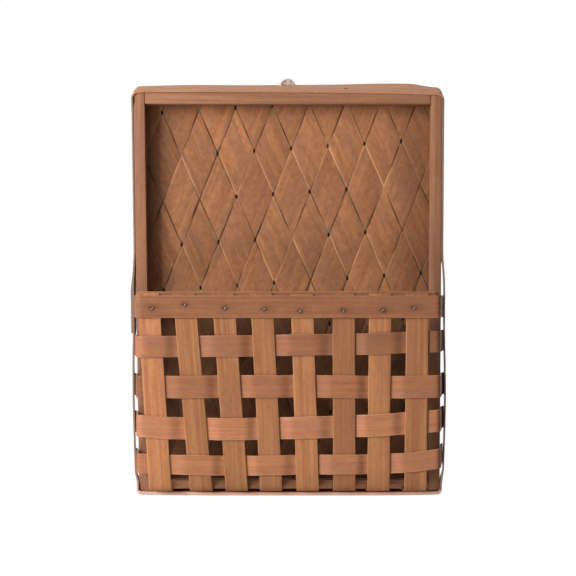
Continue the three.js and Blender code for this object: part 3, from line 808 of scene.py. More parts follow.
@dataclass(frozen=True)
class Layout:
    """The basket's shared lines in millimetres, heights counted from the wall nail."""

    top: float
    bottom: float
    stick_front: float
    stick_back: float
    rim_top: float
    rim_foot: float
    front_wall: float
    half_width: float = 133.0
    left_lean: float = 5.1
    right_lean: float = 2.4
    right_out: float = 0.7
    stile_face: float = 9.6
    clearance: float = 0.3
    splint: float = 1.1
    rim_thickness: float = 1.3
    left_slack: float = 1.0
    right_slack: float = 1.5
    side_splay: float = 2.0
    hoop_depth: float = 26.0
    foot_corner: float = 4.5
    foot_lift: float = 2.4
    foot_gap: float = 4.4
    pocket_inset: float = 4.6
    left_pinch: float = 1.4
    hoop_tip: float = 1.1
    hoop_bow: float = 1.1
    hoop_settle: float = 0.7
    tuck_room: float = 1.5
    belly_share: float = 0.55
    opens_above: float = 2.2
    opens_over: float = 2.0
    eases_over: float = 0.8

    @classmethod
    def from_frame(cls) -> "Layout":
        """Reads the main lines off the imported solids.

        Returns:
            The layout.
        """
        stile_low, stile_high = (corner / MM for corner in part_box("left_stile"))
        rim_low, rim_high = (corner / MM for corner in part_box("rim_outer"))
        stake_low, _ = (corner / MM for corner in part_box("stake_1"))
        return cls(
            top=stile_high.z,
            bottom=stile_low.z,
            stick_front=stile_low.y,
            stick_back=stile_high.y,
            rim_top=rim_high.z,
            rim_foot=rim_low.z,
            front_wall=stake_low.y + cls.splint / 2,
        )

    @property
    def height(self) -> float:
        """Height of the stick frame."""
        return self.top - self.bottom

    @property
    def pocket_half(self) -> float:
        """Half the width of the pocket."""
        return self.half_width - self.pocket_inset

    @property
    def drop(self) -> float:
        """From the outer rim's lower edge to the pocket's foot."""
        return self.rim_foot - self.bottom - self.foot_lift

    def crown(self, x: float) -> float:
        """How far the hoop's top stands above the stiles: bowed up, and tipped down to the right."""
        across = x / self.half_width
        return self.hoop_tip * (1 - across) + self.hoop_bow * (1 - across**4) - self.hoop_settle

    def stile_outer(self, side: Side, z: float) -> float:
        """The outer face of a stile at a height."""
        lean, out = (self.left_lean, 0.0) if side is Side.LEFT else (self.right_lean, self.right_out)
        return side.value * (self.half_width + out - lean * (self.top - z) / self.height)

    def stile_inner(self, side: Side, z: float) -> float:
        """The inner face of a stile at a height."""
        return self.stile_outer(side, z) - side.value * self.stile_face

    def tuck_gap(self, side: Side, z: float, lowest: float) -> float:
        """Space between stile and hoop.

        Args:
            side: Which stile.
            z: The height.
            lowest: The lower edge of the lowest weaver.

        Returns:
            The gap: shut at the top, enough for the ends of rim and weavers, slack beside the pocket.
        """
        slack = self.left_slack if side is Side.LEFT else self.right_slack
        rim_gap = self.rim_thickness + self.tuck_room * self.clearance
        weaver_gap = self.splint + self.tuck_room * self.clearance
        rim_width = self.rim_top - self.rim_foot
        belly = (z - self.rim_foot + self.drop / 2) / (self.belly_share * self.drop)
        bulge = (1 - min(belly**2, 1.0)) ** 2
        opening = ease((self.rim_top + self.opens_above * rim_width - z) / (self.opens_over * rim_width))
        easing = ease((self.rim_foot - z) / (self.eases_over * rim_width))
        closing = ease((lowest - self.clearance - z) / (2 * self.foot_corner))
        tuck = (rim_gap * opening - (rim_gap - weaver_gap) * easing) * (1 - closing)
        return self.clearance + tuck + slack * bulge


def arc(centre: Plan, radius: float, start_deg: float, end_deg: float, steps: int) -> list[Plan]:
    """Points on a round bend, ends left out.

    Args:
        centre: The bend's centre.
        radius: Its radius.
        start_deg: Where it starts.
        end_deg: Where it ends.
        steps: How many points.

    Returns:
        The points.
    """
    angles = [math.radians(start_deg + (end_deg - start_deg) * (step + 0.5) / steps) for step in range(steps)]
    return [(centre[0] + radius * math.cos(angle), centre[1] + radius * math.sin(angle)) for angle in angles]


def evened(points: Sequence[Sequence[float]], step: float) -> np.ndarray:
    """Respaces a line of points evenly along its length.

    Args:
        points: The line.
        step: The wanted spacing.

    Returns:
        The respaced points.
    """
    rows = np.asarray(points, float)
    gaps = np.linalg.norm(np.diff(rows, axis=0), axis=1)
    rows = rows[np.concatenate(([True], gaps > 1e-6))]
    run = np.concatenate(([0.0], np.cumsum(np.linalg.norm(np.diff(rows, axis=0), axis=1))))
    count = max(int(round(run[-1] / step)), 2)
    wanted = np.linspace(0.0, run[-1], count + 1)
    return np.stack([np.interp(wanted, run, rows[:, axis]) for axis in range(rows.shape[1])], axis=1)


def softened(points: np.ndarray, passes: int) -> np.ndarray:
    """Rounds the small corners of an even line, its ends held.

    Args:
        points: The line, a row for each point.
        passes: How many times it is smoothed.

    Returns:
        The rounded line.
    """
    rows = points.copy()
    for _ in range(passes):
        rows[1:-1] = 0.25 * rows[:-2] + 0.5 * rows[1:-1] + 0.25 * rows[2:]
    return rows


@dataclass
class BackFrame:
    """Four sticks and the hoop that is bent round them."""

    layout: Layout
    sweep: SplintSweep
    scatter: ScatteredPieces
    lowest_weaver: float
    rail_face: float = 7.4
    rail_points: int = 25
    foot_rail_face: float = 6.6
    foot_rail_drop: float = 1.1
    stick_tone: float = -0.1
    foot_rail_tone: float = 0.12
    stick_ease: float = 0.6
    arris: float = 0.5
    arris_cuts: int = 3
    foot_turn: float = 2.2
    foot_drop: float = 3.2
    hoop_thickness: float = 1.7
    hoop_corner: float = 4.5
    hoop_flare: float = 8.0
    hoop_twist: float = 2.2
    # Towards its corners the hoop's top flares a little more, and near the right one it droops.
    hoop_square: float = 0.85
    square_from: float = 30.0
    square_run: float = 60.0
    hoop_droop: float = 3.0
    droop_from: float = 104.0
    droop_run: float = 27.0
    hoop_sag: float = 0.8
    line_step: float = 1.6
    run_points: int = 60
    foot_points: int = 33
    top_points: int = 41
    lap_points: int = 30
    bend_points: int = 8
    snug: float = 0.8
    lap_length: float = 32.0
    lap_below_rim: float = 14.0
    lap_ramp: float = 14.0
    lap_tail: float = 20.0
    lap_rise: float = 0.6
    right_splay_above: float = 36.0
    splay_lead: float = 6.0
    splay_run: float = 20.0
    side_fade: float = 12.0
    corner_fade: float = 4.0
    side_shade: float = -0.42
    shadow_lift: float = 0.9
    foot_lip: float = 1.2
    # The hoop's foot and top are lighter: partly paler worn wood, partly painted light.
    foot_wear_and_light: float = 1.5
    left_foot_dull: float = 0.75
    left_foot_from: float = 80.0
    left_foot_run: float = 40.0
    top_wear_and_light: float = 0.52
    front_dull: float = 1.3
    # Painted shade in the gap between hoop and stiles, on both facing sides.
    gap_shade: float = 0.6
    gap_shade_skin: float = 0.5
    gap_shade_fade: float = 0.4
    gap_lead: float = 0.5
    gap_fade: float = 2.0
    side_lead: float = 2.0
    foot_lead: float = 1.0
    foot_fade: float = 3.0
    top_lead: float = 3.0
    turn_lead: float = 1.0
    front_fade: float = 2.0
    nail_from_top: float = 66.0
    nail_proud: float = 0.15
    nail_length: float = 8.0

    def build(self, steel: Material) -> None:
        """Makes and dresses the sticks, the hoop and its nails.

        Args:
            steel: The nails' finish.
        """
        lay = self.layout
        wood = STICK_ASH.material()
        self._stile("left_stile", Side.LEFT, wood, 0.7)
        self._stile("right_stile", Side.RIGHT, wood, 2.3)
        self._rail("top_rail", lay.top, lay.top - self.rail_face, True, wood, self.stick_tone, 4.1)
        foot_top, foot_low = lay.bottom + self.foot_rail_face, lay.bottom - self.foot_rail_drop
        self._rail("bottom_rail", foot_top, foot_low, False, wood, self.foot_rail_tone, 5.9)
        self._hoop(HOOP_ASH.material())
        self._hoop_nails(steel)

    def _stick(self, name: str, outline: Sequence[Plan], back: Sequence[Plan], upright: bool,
               wood: Material, tone: float, seed: float) -> None:
        """Makes one stick from its outlines seen from the front.

        Args:
            name: The piece and CAD node.
            outline: Corners of its front as across and up.
            back: The same corners at its back.
            upright: Whether its grain runs up rather than across.
            wood: The finish.
            tone: Lighter or darker than the rest.
            seed: Where its grain is cut from.
        """
        lay = self.layout
        build = bmesh.new()
        front = [build.verts.new((x * MM, lay.stick_front * MM, z * MM)) for x, z in outline]
        rear = [build.verts.new((x * MM, lay.stick_back * MM, z * MM)) for x, z in back]
        build.faces.new(front)
        build.faces.new(rear[::-1])
        for at in range(len(outline)):
            after = (at + 1) % len(outline)
            build.faces.new((front[at], rear[at], rear[after], front[after]))
        mesh = outward(build, bpy.data.meshes.new(name))
        mesh.materials.append(wood)
        made = linked(name, mesh)
        bevel = made.modifiers.new("arris", "BEVEL")
        bevel.width = self.arris * MM
        bevel.segments = self.arris_cuts
        settled(made)
        self._grain(made.data, upright, tone, seed)
        finished(made, [name])

    def _grain(self, mesh: Mesh, upright: bool, tone: float, seed: float) -> None:
        """Stores the grain coordinates of a stick, and painted shade on a stile's outer side, in the gap
        beside the hoop.

        Args:
            mesh: The stick's mesh.
            upright: Whether its grain runs up.
            tone: Its tone.
            seed: Its seed.
        """
        points = coordinates(mesh)
        order = (2, 0, 1) if upright else (0, 2, 1)
        rows = points[:, order] - np.array([0.0, *points.mean(0)[list(order[1:])]])
        set_values(mesh, "grain", rows * MM)
        for key, value in (("seed", seed), ("tone", tone), ("edge", 1.0)):
            set_values(mesh, key, np.full(len(points), value))
        side = Side.LEFT if points[:, 0].mean() < 0 else Side.RIGHT
        inside = side.value * (self.layout.stile_outer(side, points[:, 2]) - points[:, 0])
        # Painted shade on a stile's outer side, where it faces the hoop.
        set_values(mesh, "grime", self.gap_shade * ease((self.gap_shade_skin - inside) / self.gap_shade_fade) * upright)

    def _stile(self, name: str, side: Side, wood: Material, seed: float) -> None:
        """Makes an upright stick with its outer corners eased.

        Args:
            name: The piece and CAD node.
            side: Which side it stands on.
            wood: The finish.
            seed: Where its grain is cut from.
        """
        lay = self.layout
        high, low = self.stick_ease * self.hoop_corner, self.stick_ease * self.foot_turn
        foot = lay.bottom - self.foot_drop
        outer, inner = lay.stile_outer(side, lay.top), lay.stile_inner(side, lay.top)
        outlines = []
        for depth in (lay.stick_front, lay.stick_back):
            rise = self._under_hoop(outer, depth)
            outlines.append([
                (lay.stile_inner(side, foot), foot),
                (lay.stile_outer(side, foot) - side.value * low, foot),
                (lay.stile_outer(side, foot + low), foot + low),
                (outer, lay.top - high + rise),
                (outer - side.value * high, lay.top + rise),
                (inner, lay.top + self._under_hoop(inner, depth)),
            ])
        self._stick(name, *outlines, True, wood, self.stick_tone, seed)

    def _rail(self, name: str, upper: float, lower: float, crowned: bool, wood: Material,
              tone: float, seed: float) -> None:
        """Makes a level stick between the stiles.

        Args:
            name: The piece and CAD node.
            upper: Height of its upper face.
            lower: Height of its lower face.
            crowned: Whether its upper face follows the hoop rather than running straight.
            wood: The finish.
            tone: Lighter or darker than the rest.
            seed: Where its grain is cut from.
        """
        lay = self.layout
        ends = [lay.stile_inner(side, upper) - side.value * lay.clearance for side in (Side.RIGHT, Side.LEFT)]
        feet = [(lay.stile_inner(side, lower) - side.value * lay.clearance, lower) for side in Side]
        outlines = []
        for depth in (lay.stick_front, lay.stick_back):
            across = np.linspace(*ends, self.rail_points if crowned else 2)
            rises = [self._under_hoop(x, depth) if crowned else 0.0 for x in across]
            outlines.append([*feet, *((x, upper + rise) for x, rise in zip(across, rises))])
        self._stick(name, *outlines, False, wood, tone, seed)

    def _under_hoop(self, x: float, depth: float) -> float:
        """How far above the stiles' height the underside of the hoop's top lies."""
        lay = self.layout
        return lay.crown(x) + lay.clearance + self._flare(x) * (1 + depth / lay.hoop_depth)

    def _flare(self, x: float) -> float:
        """How much higher the hoop's top lies at the wall than in front.

        Args:
            x: The place along the top.

        Returns:
            The rise in millimetres.
        """
        square = self.hoop_square * ease((abs(x) - self.square_from) / self.square_run)
        droop = self.hoop_droop * ease((x - self.droop_from) / self.droop_run)
        return self.hoop_flare + self.hoop_twist * x / self.layout.half_width + (square - droop)

    def _side(self, side: Side, z: float) -> float:
        """The hoop's middle line beside a stile."""
        gap = self.layout.tuck_gap(side, z, self.lowest_weaver) - self.snug * self.layout.clearance
        return self.layout.stile_outer(side, z) + side.value * (gap + self.hoop_thickness / 2)

    def _line(self) -> np.ndarray:
        """The hoop's middle line from the front, from under its lap round to the lap's end.

        Returns:
            Rows of across and up.
        """
        lay = self.layout
        half = self.hoop_thickness / 2
        hoop_top, hoop_foot = lay.top + lay.clearance + half, lay.bottom - lay.foot_gap - half
        lap_end = lay.rim_foot - self.lap_below_rim
        lap_start = lap_end + self.lap_length
        high_turn, foot_turn = self.hoop_corner + half, self.foot_turn + half
        low = hoop_foot + foot_turn
        left_low = self._side(Side.LEFT, low) + foot_turn
        right_low = self._side(Side.RIGHT, low) - foot_turn
        right_x = self._side(Side.RIGHT, lay.top) - high_turn
        left_x = self._side(Side.LEFT, lay.top) + high_turn
        right_z, left_z = (hoop_top + lay.crown(x) - high_turn for x in (right_x, left_x))
        over = self.lap_rise * self.hoop_thickness + lay.clearance

        def run(side: Side, start: float, end: float) -> list[Plan]:
            """A stretch beside a stile."""
            return [(self._side(side, z), z) for z in np.linspace(start, end, self.run_points)]

        def lapped(z: float) -> Plan:
            """The outer end, riding out over the hoop's own start."""
            out = over * ease((lap_start + 1.6 * self.lap_ramp - z) / (1.5 * self.lap_ramp))
            return self._side(Side.LEFT, z) - out, z

        sag = [(left_low + (right_low - left_low) * t, hoop_foot - self.hoop_sag * (1 - (2 * t - 1) ** 4))
               for t in np.linspace(0, 1, self.foot_points)]
        line = [
            *run(Side.LEFT, lap_start + self.lap_tail, low),
            *arc((left_low, low), foot_turn, 180, 270, self.bend_points),
            *sag,
            *arc((right_low, low), foot_turn, 270, 360, self.bend_points),
            *run(Side.RIGHT, low, right_z),
            *arc((right_x, right_z), high_turn, 0, 90, self.bend_points),
            *[(x, hoop_top + lay.crown(x)) for x in np.linspace(right_x, left_x, self.top_points)],
            *arc((left_x, left_z), high_turn, 90, 180, self.bend_points),
            *run(Side.LEFT, left_z, lap_start + 2.6 * self.lap_ramp),
            *[lapped(z) for z in np.linspace(lap_start + 2 * self.lap_ramp, lap_end, self.lap_points)],
        ]
        return evened(line, self.line_step)

    def _beside(self, z: float | np.ndarray) -> float | np.ndarray:
        """One beside the stiles, fading to nought at the hoop's top and foot."""
        lay = self.layout
        return ease((lay.top - self.side_lead - z) / self.side_fade) * ease((z - lay.bottom) / self.side_fade)

    def _hoop(self, wood: Material) -> None:
        """Makes the hoop, its top flared up towards the wall and its sides splayed beside the pocket.

        Args:
            wood: The finish.
        """
        lay = self.layout
        run = 3 * self.hoop_corner
        path, across = [], []
        for x, z in self._line():
            flare = self._flare(x) * ease((z - lay.top + run) / run)
            opens = lay.rim_foot - self.lap_below_rim if x < 0 else lay.rim_top + self.right_splay_above
            opened = ease((opens + self.splay_lead - z) / self.splay_run)
            splay = math.copysign(lay.side_splay * self._beside(z) * opened, x)
            path.append((x + splay / 2, -lay.hoop_depth / 2, z + flare / 2))
            across.append((splay, lay.hoop_depth, flare))
        strip = Strip(lay.hoop_depth, self.hoop_thickness, 0.0, 3.1, cuts=12, corner=0.4, warp=0.0)
        made = self.sweep.splint("hoop", path, across, strip, wood)
        points = coordinates(made.data)
        beside = self._beside(points[:, 2])
        points[:, 1] *= 1 + (lay.stick_front / -lay.hoop_depth - 1) * beside
        behind = ease((points[:, 1] - lay.stick_front - self.gap_lead) / self.gap_fade)
        below = ease((lay.bottom - self.foot_lead - points[:, 2]) / self.foot_fade)
        inner = get_values(made.data, "section")[:, 1] / MM / self.hoop_thickness + 0.5
        # Painted shade on the hoop's inner face beside the stiles, behind their front.
        set_values(made.data, "grime", self.gap_shade * inner * beside * behind)
        points[:, 2] += self.foot_lip * below * inner
        set_coordinates(made.data, points)
        self._wear(made.data, points, below)
        finished(made, ["hoop"])

    def _wear(self, mesh: Mesh, points: np.ndarray, below: np.ndarray) -> None:
        """Stores the hoop's tone: paler on its top and foot, partly worn wood and partly painted light, and
        dark at its sides but for the lower right, where painted light lifts the pocket's shadow.

        Args:
            mesh: The hoop's mesh.
            points: Its points in millimetres.
            below: One along the hoop's foot, nought above it.
        """
        lay = self.layout
        x, y, z = points.T
        above = ease((z - lay.top + self.top_lead) / self.corner_fade)
        # Painted light on the hoop's right side below the rim, lifting the shadow the pocket casts there.
        under_pocket_shadow = ease((lay.rim_top - z) / self.side_fade) * (x > 0)
        below_top = ease((lay.top + self.turn_lead - z) / self.corner_fade)
        turned = below_top * ease((z - lay.bottom) / self.side_fade)
        sides = (self.side_shade + self.shadow_lift * under_pocket_shadow) * turned
        # Painted light from below on the foot, over its paler worn edge, less at the left.
        lip = below * (1 - self.left_foot_dull * ease((-self.left_foot_from - x) / self.left_foot_run))
        front = ease((self.front_fade - lay.hoop_depth - y) / self.front_fade)
        # Painted light on the top, with its paler wood, less on the front edge.
        top = self.top_wear_and_light * above * (1 - self.front_dull * front)
        set_values(mesh, "tone", self.foot_wear_and_light * lip + top + sides)
        set_values(mesh, "edge", get_values(mesh, "edge") + above)

    def _hoop_nails(self, steel: Material) -> None:
        """Sets one flat-headed nail through the hoop into each stick.

        Args:
            steel: The finish.
        """
        lay = self.layout
        depth = (lay.stick_front + lay.stick_back) / 2
        height = lay.top - self.nail_from_top
        lo_foot, hi_foot = (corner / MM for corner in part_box("hoop_nail_foot"))
        lo_top, hi_top = (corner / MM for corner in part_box("hoop_nail_top"))
        quarter = math.pi / 2
        proud = self.hoop_thickness / 2 + self.nail_proud
        over = (lo_top.x + hi_top.x) / 2
        crest = lay.top + self._under_hoop(over, depth) + self.hoop_thickness + self.nail_proud
        spots = [
            *[(self._side(side, height) + side.value * proud, depth, height) for side in Side],
            (over, depth, crest),
            ((lo_foot.x + hi_foot.x) / 2, depth, lo_foot.z),
        ]
        turns = [(0.0, -quarter, 0.0), (0.0, quarter, 0.0), (0.0, 0.0, 0.0), (2 * quarter, 0.0, 0.0)]
        nail = WireNail(self.nail_length).mesh("hoop_nail")
        made = self.scatter.place("hoop_nails", nail, spots, turns, [1.0] * len(spots), steel)
        finished(made, [f"hoop_nail_{where}" for where in ("left", "right", "top", "foot")])


@dataclass(frozen=True)
class WireNail:
    """A small flat-headed wire nail."""

    length: float
    head: float = 1.7
    head_depth: float = 0.6
    shank: float = 0.6
    facets: int = 16

    def mesh(self, name: str) -> Mesh:
        """Turns the nail, its head's crown at the origin and its point down Z.

        Args:
            name: The mesh's name.

        Returns:
            The mesh in metres.
        """
        head, deep, shank = self.head, self.head_depth, self.shank
        profile = [(0.0, 0.0), (head * 0.7, -0.05), (head, -deep * 0.35), (head * 0.96, -deep),
                   (shank, -deep), (shank, shank * 2 - self.length), (0.0, -self.length)]
        build = bmesh.new()
        verts = [build.verts.new((radius * MM, 0.0, height * MM)) for radius, height in profile]
        edges = [build.edges.new(pair) for pair in zip(verts, verts[1:])]
        bmesh.ops.spin(build, geom=[*verts, *edges], axis=(0, 0, 1), cent=(0, 0, 0), steps=self.facets,
                       angle=2 * math.pi)
        bmesh.ops.remove_doubles(build, verts=build.verts, dist=1e-6)
        return outward(build, bpy.data.meshes.new(name))


@dataclass
class WovenMat:
    """The back: two slanting sets of broad splints in plain weave."""

    layout: Layout
    sweep: SplintSweep
    thickness: float = 0.9
    wave: float = 0.8
    fullness: float = 2.2
    lap: float = -0.1
    splints: int = 13
    first_rising: int = -5
    first_falling: int = -8
    rising_share: Plan = (0.0586, 0.1174)
    falling_share: Plan = (0.0616, -0.1111)
    origin_share: Plan = (0.0117, 0.3676)
    corner_ease: float = 3.6
    tuck: float = 1.0
    # A splint's reach is looked for so far past the frame, in so many cells either way and so finely.
    margin: float = 6.0
    search_cells: int = 26
    search_step: float = 0.02
    spare_cells: float = 0.1
    draw_seed: int = 41
    tone_swing: float = 0.11
    grain_swing: float = 9.0
    # The rising splints' pale edges, partly a painted highlight, are drawn narrower.
    rising_highlight_dim: float = 1.5
    # Painted shade beside the stiles and behind the pocket; beside the right stile it is partly the splints'
    # own darker colour.
    right_shade: float = 0.46
    right_from: float = 78.0
    right_run: float = 42.0
    left_shade: float = 0.2
    left_from: float = 62.0
    left_run: float = 44.0
    pocket_shade: float = 0.6
    pocket_above: float = 4.0
    pocket_fade: float = 12.0

    def __post_init__(self) -> None:
        """Works out the lattice from the frame's width and height."""
        lay = self.layout
        self.size = np.array([2 * lay.half_width, lay.height])
        self.rising = np.array(self.rising_share) * self.size
        self.falling = np.array(self.falling_share) * self.size
        self.origin = np.array(self.origin_share) * self.size + np.array([0.0, (lay.top + lay.bottom) / 2])
        low, high = (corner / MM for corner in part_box("mat_right_07"))
        self.middle = (low.y + high.y) / 2

    def build(self) -> None:
        """Makes and dresses both sets."""
        # Its wide pale edges are partly a painted highlight, and its darkest colour is painted shade in seams
        # and pits.
        finish = MatFinish("stained_ash_mat", pale="#b57a52", deep="#a06945", blush="#9a6a4f", edge="#d9a678",
                           grime="#1d120c", streak_mm=6.0, cloud_mm=13.0, fibre_depth=0.06, edge_mm=1.5,
                           mottle_depth=0.2, rising=tuple(self.rising), falling=tuple(self.falling))
        wood = finish.material()
        draw = np.random.default_rng(self.draw_seed)
        for lay in Lay:
            for count in range(self.splints):
                name = f"mat_{lay.value}_{count + 1:02d}"
                tone = draw.uniform(-self.tone_swing, self.tone_swing)
                seed = draw.uniform(0, self.grain_swing)
                self._splint(name, lay, count, wood, tone, seed)

    def _splint(self, name: str, lay: Lay, count: int, wood: Material, tone: float, seed: float) -> None:
        """Makes one splint: a wave along its own set, trimmed to the frame.

        Args:
            name: The piece and CAD node.
            lay: Which set.
            count: Its place in the set.
            wood: The finish.
            tone: Lighter or darker than the rest.
            seed: Where its grain is cut from.
        """
        rising = lay is Lay.RISING
        along, across = (self.rising, self.falling) if rising else (self.falling, self.rising)
        index = (self.first_rising if rising else self.first_falling) + count
        run = float(np.linalg.norm(along))
        pitch = abs(along[0] * across[1] - along[1] * across[0]) / run
        first, last = self._reach(along, across, index)
        step = 1.0 / run
        path = []
        for cell in np.arange(first, last + step, step):
            spot = self.origin + along * cell + across * (index + 0.5)
            path.append((spot[0], self.middle, spot[1]))
        heading = along / run
        wide = np.array([-heading[1], heading[0]])
        strip = Strip(pitch - self.lap, self.thickness, tone, seed, cuts=9, corner=0.25, waver=0.2, warp=0.05,
                      slant=float(across @ heading) / float(across @ wide))
        made = self.sweep.splint(name, path, [(wide[0], 0.0, wide[1])] * len(path), strip, wood)
        points = coordinates(made.data)
        points[:, 1] -= self._height(self._cells(points)[:, 0 if rising else 1], index, rising)
        set_coordinates(made.data, points)
        self._trim(made.data)
        self._mark(made.data, tone, self.rising_highlight_dim if rising else 1.0)
        finished(made, [name])

    def _cells(self, points: np.ndarray) -> np.ndarray:
        """Places on the mat's lattice: steps along the rising and along the falling splints."""
        basis = np.array([self.rising, self.falling]).T
        return np.linalg.solve(basis, (points[:, [0, 2]] - self.origin).T).T

    def _height(self, cell: np.ndarray, index: int, rising: bool) -> np.ndarray:
        """How far a splint stands out towards the viewer at places along it.

        Args:
            cell: Places along the splint in cells.
            index: The splint's number.
            rising: Whether it is of the rising set.

        Returns:
            The heights in millimetres, below nought where it dips behind.
        """
        here = np.floor(cell)
        odd = np.abs(here - index) % 2 == 1
        bulge = self.wave * (1 - np.abs(2 * (cell - here) - 1) ** self.fullness)
        return np.where(odd == rising, bulge, -bulge)

    def _outline(self) -> list[Plan]:
        """The mat's trimmed edge.

        Returns:
            Its corners, anticlockwise from the lower left.
        """
        lay = self.layout
        cut = self.corner_ease
        edge = lay.clearance
        foot = lay.bottom - lay.foot_gap - self.tuck
        return [
            (lay.stile_outer(Side.LEFT, lay.bottom) + cut, foot),
            (lay.stile_outer(Side.RIGHT, lay.bottom) - cut, foot),
            (lay.stile_outer(Side.RIGHT, foot + cut) - edge, foot + cut),
            (lay.stile_outer(Side.RIGHT, lay.top - cut) - edge, lay.top - cut),
            (lay.stile_outer(Side.RIGHT, lay.top) - cut, lay.top),
            (lay.stile_outer(Side.LEFT, lay.top) + cut, lay.top),
            (lay.stile_outer(Side.LEFT, lay.top - cut) + edge, lay.top - cut),
            (lay.stile_outer(Side.LEFT, foot + cut) + edge, foot + cut),
        ]

    def _reach(self, along: np.ndarray, across: np.ndarray, index: int) -> Plan:
        """Where a splint enters and leaves the frame, with some to spare.

        Args:
            along: One step along the splint.
            across: One step across its set.
            index: The splint's number.

        Returns:
            First and last place in cells.
        """
        half = self.size / 2 + self.margin
        centre = np.array([0.0, (self.layout.top + self.layout.bottom) / 2])
        inside = []
        for cell in np.arange(-self.search_cells, self.search_cells, self.search_step):
            for edge in (0.0, 0.25, 0.5, 0.75, 1.0):
                spot = self.origin + along * cell + across * (index + edge) - centre
                if np.all(np.abs(spot) < half):
                    inside.append(cell)
        return min(inside) - self.spare_cells, max(inside) + self.spare_cells

    def _trim(self, mesh: Mesh) -> None:
        """Cuts a splint along the mat's edge and closes the cuts.

        Args:
            mesh: The splint's mesh.
        """
        build = bmesh.new()
        build.from_mesh(mesh)
        corners = self._outline()
        for here, after in zip(corners, corners[1:] + corners[:1]):
            cut = bmesh.ops.bisect_plane(
                build,
                geom=[*build.verts, *build.edges, *build.faces],
                plane_co=Vector((here[0], 0.0, here[1])) * MM,
                plane_no=Vector((after[1] - here[1], 0.0, here[0] - after[0])),
                clear_outer=True,
            )
            rim = [item for item in cut["geom_cut"] if isinstance(item, bmesh.types.BMEdge)]
            if rim:
                bmesh.ops.holes_fill(build, edges=rim, sides=0)
        outward(build, mesh)
        mesh.set_sharp_from_angle(angle=SHARP_ANGLE)

    def _mark(self, mesh: Mesh, tone: float, dull: float) -> None:
        """Stores each point's place on the lattice, its edge, and its tone: painted shade beside the left
        stile and behind the pocket, and darker beside the right stile, partly painted shade and partly the
        splints' own colour.

        Args:
            mesh: The trimmed splint.
            tone: The splint's own tone.
            dull: How much narrower its pale edges are, which are partly a painted highlight.
        """
        points = coordinates(mesh)
        x, y, z = points.T
        set_values(mesh, "edge", dull * get_values(mesh, "edge"))
        thick = get_values(mesh, "section")[:, 1]
        front = thick * np.dot(thick, self.middle - y) > 0
        # Painted shade on the front of the mat where the pocket covers it.
        hidden = ease((self.layout.rim_top + self.pocket_above - z) / self.pocket_fade) * front
        right = self.right_shade * ease((x - self.right_from) / self.right_run)
        left = self.left_shade * ease((-self.left_from - x) / self.left_run)
        set_values(mesh, "tone", tone - (right + left) * (1 - hidden) - self.pocket_shade * hidden)
        set_values(mesh, "lattice", np.column_stack([self._cells(points), np.zeros(len(points))]))


